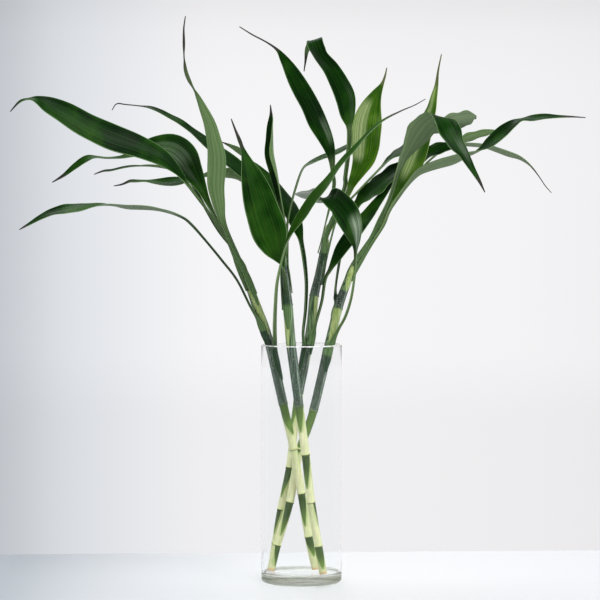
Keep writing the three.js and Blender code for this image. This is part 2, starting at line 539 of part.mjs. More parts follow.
// Skin a leaf so that both faces are cut into triangles along the same lines.
function stitchLeaf(rings) {
  const sides = rings[0].length;
  const columns = sides / 2;
  const positions = rings.flat().flatMap((p) => [p.x, p.y, p.z]);
  const faces = [];
  const at = (ring, column, below) => ring * sides + (below ? sides - 1 - column : column);
  const quad = (a, b, c, d) => faces.push(a, b, c, a, c, d);
  for (let r = 0; r + 1 < rings.length; r++) {
    for (let c = 0; c + 1 < columns; c++) {
      quad(at(r, c, false), at(r, c + 1, false), at(r + 1, c + 1, false), at(r + 1, c, false));
      const [a, b, e, d] = [at(r, c, true), at(r, c + 1, true),
        at(r + 1, c + 1, true), at(r + 1, c, true)];
      faces.push(a, e, b, a, d, e);
    }
    const end = columns - 1;
    quad(at(r, end, false), at(r, end, true), at(r + 1, end, true), at(r + 1, end, false));
    quad(at(r, 0, true), at(r, 0, false), at(r + 1, 0, false), at(r + 1, 0, true));
  }
  const last = rings.length - 1;
  for (let c = 0; c + 1 < columns; c++) {
    quad(at(0, c, false), at(0, c, true), at(0, c + 1, true), at(0, c + 1, false));
    quad(at(last, c, true), at(last, c, false), at(last, c + 1, false), at(last, c + 1, true));
  }
  const geometry = new THREE.BufferGeometry();
  geometry.setAttribute('position', new THREE.Float32BufferAttribute(positions, 3));
  geometry.setIndex(faces);
  return geometry;
}

function named(name, geometry, material) {
  const mesh = new THREE.Mesh(geometry, material);
  mesh.name = name;
  return mesh;
}

const plant = new THREE.Group();
plant.add(named('vase', makeVase(), glass));
for (const [name, stem] of Object.entries(stems)) {
  plant.add(named(name, makeStem(stem), cane));
}
for (const [name, leaf] of Object.entries(leaves)) {
  plant.add(named(name, makeLeaf(leaf), leaf.bright ? brightLeaf : darkLeaf));
}

export default plant;
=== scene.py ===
import random
from math import atan2, cos, degrees, exp, hypot, pi, radians, sin
import bpy
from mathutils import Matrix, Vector


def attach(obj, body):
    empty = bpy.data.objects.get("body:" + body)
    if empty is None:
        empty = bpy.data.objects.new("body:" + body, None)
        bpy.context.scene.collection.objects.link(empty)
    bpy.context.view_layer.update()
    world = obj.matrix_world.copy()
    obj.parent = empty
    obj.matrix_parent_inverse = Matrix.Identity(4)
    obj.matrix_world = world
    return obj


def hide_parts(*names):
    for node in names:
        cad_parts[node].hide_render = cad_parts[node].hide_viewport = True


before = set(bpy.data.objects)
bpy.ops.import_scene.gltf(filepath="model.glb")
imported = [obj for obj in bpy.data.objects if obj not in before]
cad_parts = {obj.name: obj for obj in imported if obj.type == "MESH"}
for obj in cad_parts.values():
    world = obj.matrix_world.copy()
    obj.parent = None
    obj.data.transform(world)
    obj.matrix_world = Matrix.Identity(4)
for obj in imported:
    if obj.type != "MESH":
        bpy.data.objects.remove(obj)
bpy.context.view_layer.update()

mm = 0.001

camera = {
    "place": (-1.95, -3900, 519.4),  # mm
    "tilt": 2.4064,  # degrees below the horizon
    "lens": 186.52,
    "sensor": 36,
}

cameraData = bpy.data.cameras.new("camera")
cameraData.lens = camera["lens"]
cameraData.sensor_width = camera["sensor"]
cameraData.clip_end = 60
cameraObject = bpy.data.objects.new("camera", cameraData)
bpy.context.scene.collection.objects.link(cameraObject)
cameraObject.location = Vector(camera["place"]) * mm
cameraObject.rotation_euler = (radians(90 - camera["tilt"]), 0, 0)
bpy.context.scene.camera = cameraObject
print("camera placed")


def mix(a, b, amount):
    return a + (b - a) * amount


def smooth(low, high, value):
    amount = min(max((value - low) / (high - low), 0), 1)
    return amount * amount * (3 - 2 * amount)


def bell(value, reach):
    return exp(-(value / reach) ** 2)


def lookUp(pairs, place):
    for (p0, v0), (p1, v1) in zip(pairs, pairs[1:]):
        if place <= p1:
            return mix(v0, v1, min(max((place - p0) / (p1 - p0), 0), 1))
    return pairs[-1][1]


def onCurve(rows, t):  # a smooth curve through rows of numbers
    last = len(rows) - 1
    i = min(int(t), last - 1)
    f = t - i
    f2 = f * f
    f3 = f2 * f
    result = []
    for v0, v1, v2, v3 in zip(rows[max(i - 1, 0)], rows[i], rows[i + 1], rows[min(i + 2, last)]):
        m1 = (v2 - v0) / 2
        m2 = (v3 - v1) / 2
        result.append((2 * f3 - 3 * f2 + 1) * v1 + (f3 - 2 * f2 + f) * m1
                      + (3 * f2 - 2 * f3) * v2 + (f3 - f2) * m2)
    return result


def evenSteps(rows, count):  # places on the curve with equal lengths between them
    fine = len(rows) * 24
    places = [i * (len(rows) - 1) / fine for i in range(fine + 1)]
    points = [Vector(onCurve(rows, t)[:3]) for t in places]
    lengths = [0]
    for a, b in zip(points, points[1:]):
        lengths.append(lengths[-1] + (b - a).length)
    steps = []
    j = 0
    for n in range(count + 1):
        want = lengths[-1] * n / count
        while j + 2 < len(lengths) and lengths[j + 1] < want:
            j += 1
        part = (want - lengths[j]) / max(lengths[j + 1] - lengths[j], 1e-9)
        steps.append(mix(places[j], places[j + 1], part))
    return steps, lengths[-1]


def directionAt(rows, t, reach):
    ahead = Vector(onCurve(rows, min(t + reach, len(rows) - 1))[:3])
    behind = Vector(onCurve(rows, max(t - reach, 0))[:3])
    return (ahead - behind).normalized()


def addGrid(name, across, along):  # a flat grid to be bent into shape
    bpy.ops.mesh.primitive_grid_add(x_subdivisions=across, y_subdivisions=along, size=2)
    piece = bpy.context.object
    piece.name = name
    piece.data.name = name
    return piece


def applyAll(piece):
    for modifier in list(piece.modifiers):
        bpy.ops.object.modifier_apply(modifier=modifier.name)


def paint(mesh, name, values):  # a number for each point, for the materials
    layer = mesh.attributes.new(name, "FLOAT", "POINT")
    layer.data.foreach_set("value", values)


def paintAll(mesh, values):
    for name, numbers in values.items():
        paint(mesh, name, numbers)


def note(values, **numbers):
    for name, number in numbers.items():
        values.setdefault(name, []).append(number)


def fill(material, node, inputs):  # an input takes a value or another node's output
    for socket, value in dict(inputs).items():
        if isinstance(value, bpy.types.NodeSocket):
            material.node_tree.links.new(value, node.inputs[socket])
        else:
            node.inputs[socket].default_value = value


def addNode(material, kind, inputs=(), **settings):
    node = material.node_tree.nodes.new("ShaderNode" + kind)
    for key, value in settings.items():
        setattr(node, key, value)
    fill(material, node, inputs)
    return node.outputs


def newMaterial(name):
    material = bpy.data.materials.new(name)
    material.use_nodes = True
    return material, material.node_tree.nodes["Principled BSDF"]


def attributeNode(material, name):
    return addNode(material, "Attribute", attribute_name=name)["Fac"]


def mixColours(material, amount, first, second, blend="MIX"):
    return addNode(material, "Mix", {0: amount, 6: first, 7: second}, data_type="RGBA",
                   blend_type=blend)[2]


def calculate(material, operation, *values, clamp=False):
    return addNode(material, "Math", enumerate(values), operation=operation, use_clamp=clamp)[0]


def stretch(material, value, low, high, toLow, toHigh):
    return addNode(material, "MapRange", enumerate((value, low, high, toLow, toHigh)), clamp=True)[0]


def noiseFrom(material, coordinates, scale, detail=2, scaling=(1, 1, 1)):
    mapped = addNode(material, "Mapping", {"Vector": coordinates, "Scale": scaling})["Vector"]
    return addNode(material, "TexNoise", {"Vector": mapped, "Scale": scale, "Detail": detail})["Fac"]


def srgb(red, green, blue):  # 0 to 255, as a painter reads them
    linear = []
    for value in (red, green, blue):
        value /= 255
        linear.append(value / 12.92 if value <= 0.04045 else ((value + 0.055) / 1.055) ** 2.4)
    return (*linear, 1)


def layered(material, tones, start, *layers):
    def toneOf(tone):
        return srgb(*tones[tone]) if isinstance(tone, str) else tone

    colour = toneOf(start)
    for value, *span, tone in layers:  # laid on by an attribute's name or a value, and its range
        amount = attributeNode(material, value) if isinstance(value, str) else value
        if span:
            amount = stretch(material, amount, *span)
        colour = mixColours(material, amount, colour, toneOf(tone))
    return colour


def finishSkin(material, shader, colour, roughness, height, strength, depth):
    normal = addNode(material, "Bump", {"Strength": strength, "Distance": depth * mm,
                                        "Height": height})["Normal"]
    fill(material, shader, {"Base Color": colour, "Roughness": roughness, "Normal": normal})


def rampOf(material, value, stops):  # colours along a value, each at its place
    ramp = material.node_tree.nodes.new("ShaderNodeValToRGB")
    elements = ramp.color_ramp.elements
    ramp.color_ramp.interpolation = "B_SPLINE"
    while len(elements) < len(stops):
        elements.new(0.5)
    for element, (place, colour) in zip(elements, stops):
        element.position = place
        element.color = (*colour, 1)
    fill(material, ramp, {0: value})
    return ramp.outputs[0]


stemPlan = {
    "around": 56,
    "step": 0.9,  # mm between rings of points
    "nodeRise": 0.5,  # mm, the raised ring at a node
    "nodeReach": 1.2,
    "scarDepth": 0.22,  # mm, the thin step that a leaf left under the ring
    "scarBelow": 2.4,
    "scarReach": 0.8,
    "unevenness": 0.012,  # share of the radius
    "unevenLength": 40,
    "tip": 7,  # mm, the pointed end, and how thin it gets
    "tipShare": 0.3,
    "footShare": 0.93,  # the cut end's edge is a little rounded
    "footReach": 1.2,
    "patchTaper": 0.8,  # how blunt a wedge's point is
    "patchSoft": 3,  # degrees, its soft edge
    "patchFade": 0.6,  # the strength left at a wedge's point
    "halo": 0.19,  # the light green shade round a wedge
    "haloWidth": 55,  # degrees
    "freshTaper": 0.7,
    "freshSoft": 6,
    "oldStart": 4,  # mm, the soft start and end of an old sheath
    "oldEnd": 0.5,
    "bare": 60,  # mm to the next node, where there is none above
    "cutReach": 5,
    "ringAbove": 1.2,  # mm from a node, its pale ring and its dark scar
    "scarUnder": 0.6,
    "scarWidth": 0.7,
    "scarTone": 0.75,
    "sheens": [[-52, 9, 1], [-128, 7, 0.5]],  # painted highlight stripes down the canes: bearing, width in degrees and strength
    "weld": 0.01,  # mm
}

# axis, nodes and radius of each cane in mm, as the solids have them; patches are the dark
# green wedges under the nodes: node height, height of the wedge's point, bearing, spread,
# strength; old are the heights wrapped in a dark sheath, fresh the light green openings
# between them: point, wide end, bearing, spread
stems = {
    "stem_left": {
        "axis": [[18, 8, 15], [9, 5, 57], [0, 1, 112], [-10, -3, 168], [-23, -7, 225],
                 [-34, -9, 275], [-40, -10, 301], [-47, -14, 324], [-55, -18, 345],
                 [-64, -21, 370], [-73, -23, 391], [-81, -25, 410], [-86, -26, 422]],
        "nodes": [57, 112, 168, 225],
        "radius": [[15, 5.1], [220, 5.2], [226, 5.7], [301, 5.9], [345, 5.9], [391, 4.4],
                   [422, 2.6]],
        "patches": [[225, 186, -48, 330, 0.85], [168, 148, 12, 78, 1], [112, 70, -112, 169, 1],
                    [57, 32, -70, 195, 1]],
        "sheath": 225,
        "old": [[225, 318]],
        "fresh": [[312, 369, -62, 140]],
    },
    "stem_front": {
        "axis": [[27, -31, 14], [21, -32, 49], [12, -33, 104], [5, -35, 164], [-3, -37, 224],
                 [-9, -38, 270], [-13, -38, 302], [-15, -39, 325], [-17, -40, 351],
                 [-19, -41, 373], [-21, -41, 397], [-22, -41, 415]],
        "nodes": [49, 104, 164, 224, 351],
        "radius": [[14, 4.9], [219, 5.3], [225, 5.6], [302, 6.1], [350, 6.1], [385, 4.6],
                   [415, 2.6]],
        "patches": [[224, 192, -112, 170, 0.8], [164, 122, -122, 200, 1], [104, 74, -18, 98, 1],
                    [49, 20, -80, 195, 0.9]],
        "sheath": 224,
        "old": [[224, 300], [350, 400]],
        "fresh": [[296, 350, -128, 120], [292, 330, 60, 160]],
    },
    "stem_back": {
        "axis": [[-38.5, 14, 14], [-33, 17, 47], [-26, 20, 89], [-15, 24, 142], [-9, 28, 196],
                 [-3, 31, 238], [2, 34, 263], [8, 38, 294], [13, 41, 328], [16, 43, 358],
                 [22, 45, 385], [27, 47, 412], [32, 49, 439], [34, 50, 450]],
        "nodes": [47, 89, 142, 359, 412],
        "radius": [[14, 4.9], [219, 5.2], [225, 5.6], [300, 6], [359, 6], [412, 4.6],
                   [450, 2.6]],
        "patches": [[235, 190, -140, 200, 0.8], [142, 104, -130, 182, 1], [89, 58, -140, 117, 1],
                    [47, 22, -60, 130, 0.8]],
        "sheath": 235,
        "old": [[235, 297], [359, 413]],
        "fresh": [[270, 359, -24, 120], [413, 450, -60, 200]],
    },
    "stem_right": {
        "axis": [[-38.6, 2, 14], [-31, 4, 46], [-15, 7, 100], [-3, 11, 163], [7, 14, 191],
                 [15, 16, 215], [26, 18, 260], [35, 19, 299], [41, 22, 323], [46, 24, 344],
                 [55, 26, 370], [64, 28, 391], [75, 30, 410], [88, 32, 431], [96, 33, 445]],
        "nodes": [46, 100, 166, 215, 344],
        "radius": [[14, 5.1], [210, 5.2], [216, 5.6], [299, 5.9], [344, 6], [400, 4.6],
                   [445, 2.6]],
        "patches": [[215, 160, -100, 300, 0.8], [166, 140, 170, 78, 0.8], [100, 58, -80, 156, 1],
                    [46, 20, -45, 143, 1]],
        "sheath": 215,
        "old": [[215, 284], [345, 366]],
        "fresh": [[276, 344, -48, 220], [366, 396, -60, 190]],
    },
}


def caneAt(stem, height):
    low = 0
    high = len(stem["axis"]) - 1
    for _ in range(40):
        middle = (low + high) / 2
        if onCurve(stem["axis"], middle)[2] < height:
            low = middle
        else:
            high = middle
    return Vector(onCurve(stem["axis"], low)), directionAt(stem["axis"], low, 0.05)


def caneRadius(stem, height, rise, reach):
    radius = lookUp(stem["radius"], height)
    for node in stem["nodes"]:
        radius += rise * bell(height - node, reach)
    return radius


def bearingGap(a, b):
    return abs((a - b + 180) % 360 - 180)


def patchAt(stem, height, bearing):  # how far inside a dark wedge a point of the skin lies
    best = 0
    for node, point, middle, spread, strength in stem["patches"]:
        if point < height < node:
            down = (node - height) / (node - point)
            half = spread / 2 * (1 - down) ** stemPlan["patchTaper"]
            gap = bearingGap(bearing, middle)
            inside = smooth(half + stemPlan["patchSoft"], half - stemPlan["patchSoft"], gap)
            faded = strength * mix(1, stemPlan["patchFade"], smooth(0.2, 1, down))
            halo = smooth(half + stemPlan["haloWidth"], half, gap) * smooth(0, 0.3, down)
            best = max(best, inside * faded, stemPlan["halo"] * halo)
    return best


def oldAt(stem, height):
    start = stemPlan["oldStart"]
    end = stemPlan["oldEnd"]
    return max(smooth(low - start, low + start, height) * smooth(high + end, high - end, height)
               for low, high in stem["old"])


def freshAt(stem, height, bearing):
    best = 0
    soft = stemPlan["freshSoft"]
    for low, high, middle, spread in stem["fresh"]:
        if low < height < high:
            half = spread / 2 * ((height - low) / (high - low)) ** stemPlan["freshTaper"]
            best = max(best, smooth(half + soft, half - soft, bearingGap(bearing, middle)))
    return best


def makeStem(name, stem):
    foot = stem["axis"][0][2]
    top = stem["axis"][-1][2]
    end = top - stemPlan["tip"] / 2
    sheath = stem["sheath"]
    rings = int((top - foot) / stemPlan["step"])
    piece = addGrid(name + "_skin", stemPlan["around"], rings)
    places = []
    values = {}
    cache = {}
    for vertex in piece.data.vertices:
        row = round((vertex.co.y + 1) / 2 * rings)
        if row not in cache:
            height = mix(foot, top, row / rings)
            point, along = caneAt(stem, height)
            side = Vector((0, -1, 0)).cross(along).normalized()
            cache[row] = (height, point, along, side, along.cross(side))
        height, point, along, side, other = cache[row]
        angle = pi * vertex.co.x
        radius = caneRadius(stem, height, stemPlan["nodeRise"], stemPlan["nodeReach"])
        for node in stem["nodes"]:
            below = height - node + stemPlan["scarBelow"]
            radius -= stemPlan["scarDepth"] * bell(below, stemPlan["scarReach"])
        turned = 3 * angle + height / stemPlan["unevenLength"]
        radius *= 1 + stemPlan["unevenness"] * sin(turned)
        if height > end:
            radius *= mix(1, stemPlan["tipShare"], (height - end) / (top - end))
        rounding = smooth(foot, foot + stemPlan["footReach"], height)
        radius *= mix(stemPlan["footShare"], 1, rounding)
        out = side * cos(angle) + other * sin(angle)
        places += [*((point + out * radius) * mm)]
        bearing = degrees(atan2(out.y, out.x))
        under = [node - height for node in stem["nodes"] if node > height]
        # a painted highlight stripe, pale down one side of the cane above its sheath
        sheen = sum(strength * bell(bearing - middle, width)
                    for middle, width, strength in stemPlan["sheens"])
        ring = max(bell(height - node - stemPlan["ringAbove"], 1) * (node < sheath)
                   for node in stem["nodes"])
        scar = max(bell(height - node + stemPlan["scarUnder"], stemPlan["scarWidth"])
                   for node in stem["nodes"])
        note(values,
             patch=patchAt(stem, height, bearing),
             below=min(under) if under else stemPlan["bare"],
             sheath=smooth(sheath - 0.5, sheath + 0.5, height),
             cut=smooth(foot + stemPlan["cutReach"], foot + 0.5, height),
             fresh=freshAt(stem, height, bearing),
             old=oldAt(stem, height),
             sheen=sheen * smooth(sheath, sheath + 8, height),
             ring=ring,
             scar=stemPlan["scarTone"] * scar)
    piece.data.vertices.foreach_set("co", places)
    paintAll(piece.data, values)
    bpy.ops.object.mode_set(mode="EDIT")
    bpy.ops.mesh.select_all(action="SELECT")
    bpy.ops.mesh.remove_doubles(threshold=stemPlan["weld"] * mm)
    bpy.ops.mesh.select_all(action="DESELECT")
    bpy.ops.mesh.select_mode(type="EDGE")
    bpy.ops.mesh.select_non_manifold()
    bpy.ops.mesh.fill_holes(sides=0)
    bpy.ops.mesh.select_all(action="SELECT")
    bpy.ops.mesh.normals_make_consistent(inside=False)
    bpy.ops.object.mode_set(mode="OBJECT")
    bpy.ops.object.shade_smooth_by_angle(angle=radians(50))
    return piece


caneColours = {
    "pale": (212, 214, 172),
    "yellow": (226, 220, 182),
    "mid": (138, 160, 88),
    "wedge": (30, 54, 16),
    "wedgeLight": (92, 122, 48),
    "sheath": (68, 92, 70),
    "sheathDark": (22, 40, 26),
    # the pale tone of the painted highlight stripes
    "sheen": (168, 188, 172),
    "dust": (206, 214, 204),
    "cut": (196, 164, 118),
    "scar": (40, 52, 28),
    "ring": (196, 204, 140),
    "fresh": (112, 146, 40),
    "freshPale": (202, 214, 148),
    "stalk": (46, 74, 40),
    "stalkPale": (116, 146, 96),
}
caneBump = (0.25, 0.2)  # strength, and depth in mm

caneSkin, caneShader = newMaterial("caneSkin")
caneSpot = addNode(caneSkin, "TexCoord")["Object"]
fibres = noiseFrom(caneSkin, caneSpot, 1, 3, (700, 700, 30))
cloudy = noiseFrom(caneSkin, caneSpot, 60, 3)
specks = noiseFrom(caneSkin, caneSpot, 1100, 1)
wedgeTone = layered(caneSkin, caneColours, "wedgeLight", ("patch", 0.62, 0.95, 0, 1, "wedge"),
                    (fibres, 0.35, 0.7, 0.35, 0, "wedgeLight"))
oldTone = layered(caneSkin, caneColours, "sheathDark", (fibres, 0.3, 0.7, 0, 1, "sheath"),
                  (cloudy, 0.35, 0.65, 0.5, 0, "sheathDark"), (specks, 0.65, 0.7, 0, 0.75, "dust"))
freshTone = layered(caneSkin, caneColours, "fresh", (fibres, 0.25, 0.75, 0, 1, "freshPale"))
stalkTone = layered(caneSkin, caneColours, "stalk", (fibres, 0.38, 0.62, 0, 1, "stalkPale"))
# painted highlight stripes, broken by the fibres
sheen = calculate(caneSkin, "MULTIPLY", attributeNode(caneSkin, "sheen"),
                  stretch(caneSkin, fibres, 0.35, 0.6, 0.1, 0.6))
upperTone = layered(caneSkin, caneColours, stalkTone, ("old", oldTone), ("fresh", freshTone),
                    (sheen, "sheen"))
colour = layered(caneSkin, caneColours, "mid", ("below", 0, 45, 0.6, 1, "pale"),
                 (cloudy, 0.4, 0.65, 0, 0.6, "yellow"), (fibres, 0.35, 0.7, 0.4, 0, "mid"),
                 ("patch", 0, 0.19, 0, 0.6, "mid"), ("patch", 0.25, 0.5, 0, 1, wedgeTone),
                 ("ring", "ring"), ("scar", "scar"), ("sheath", upperTone), ("cut", "cut"))
roughness = stretch(caneSkin, cloudy, 0.3, 0.7, 0.38, 0.52)
finishSkin(caneSkin, caneShader, colour, roughness, fibres, *caneBump)

for name, stem in stems.items():
    piece = makeStem(name, stem)
    piece.data.materials.append(caneSkin)
    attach(piece, "root")
    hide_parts(name)
print("canes made")


leafPlan = {
    "fold": 0.25,  # how much of the channel is a fold along the middle
    "across": 16,
    "along": 150,
    "narrow": (8, 18),  # mm, widths between which a stalk opens into a blade
    "bladeWidths": (7, 13),  # the same for its colour
    "stalkEnd": (0.5, 0.6),  # no stalk colour beyond this share of the length
    "tipStart": (0.55, 0.7),  # and no dark tip before this one
    "thickness": 1.3,  # mm, of the stalk
    "bladeShare": 0.58,  # the blade's thickness as a share of it
    "ribs": 7,
    "ribDepth": 0.05,  # mm, the soft lengthwise pleats of the blade
    "midDepth": 0.1,  # mm, the groove along its middle
    "midReach": 0.07,
    "waveLength": 9,  # mm along the edge for a radian of its waves
    "ruffleLength": 3.6,
    "gleamSoft": (0.06, 0.4),  # the soft edges of a painted highlight patch, along and across
    "drySoft": 0.03,
    "baseThickness": 1.1,
    "clearance": 0.8,
    "ringRise": 0.55,  # mm, the cane's node ring under the base
    "ringReach": 1.6,
    "baseSections": 4,
    "baseStart": (0.3, 1.6),  # its lower end: the share of the width, the rows it takes
    "baseEnd": 0.7,  # rows past the base in which the clasp lets go
    "leastWidth": 0.5,
    "leastCurl": 0.05,
}

# how a leaf looks where its own settings say nothing else: where it is dry from, how dark its
# tip is, how wavy its edge, the width under which the tip darkens, how pale or grey it is, how
# light its stalk, if it is a fresh green, and its painted highlights, pale streaked patches: where
# they start and end along it and across it, and how strong they are
usualLeaf = {"dry": 2, "tip": 0.95, "wave": 0.5, "slim": 7, "pale": 0, "grey": 0, "stalk": 0.25,
             "fresh": False, "gleam": []}

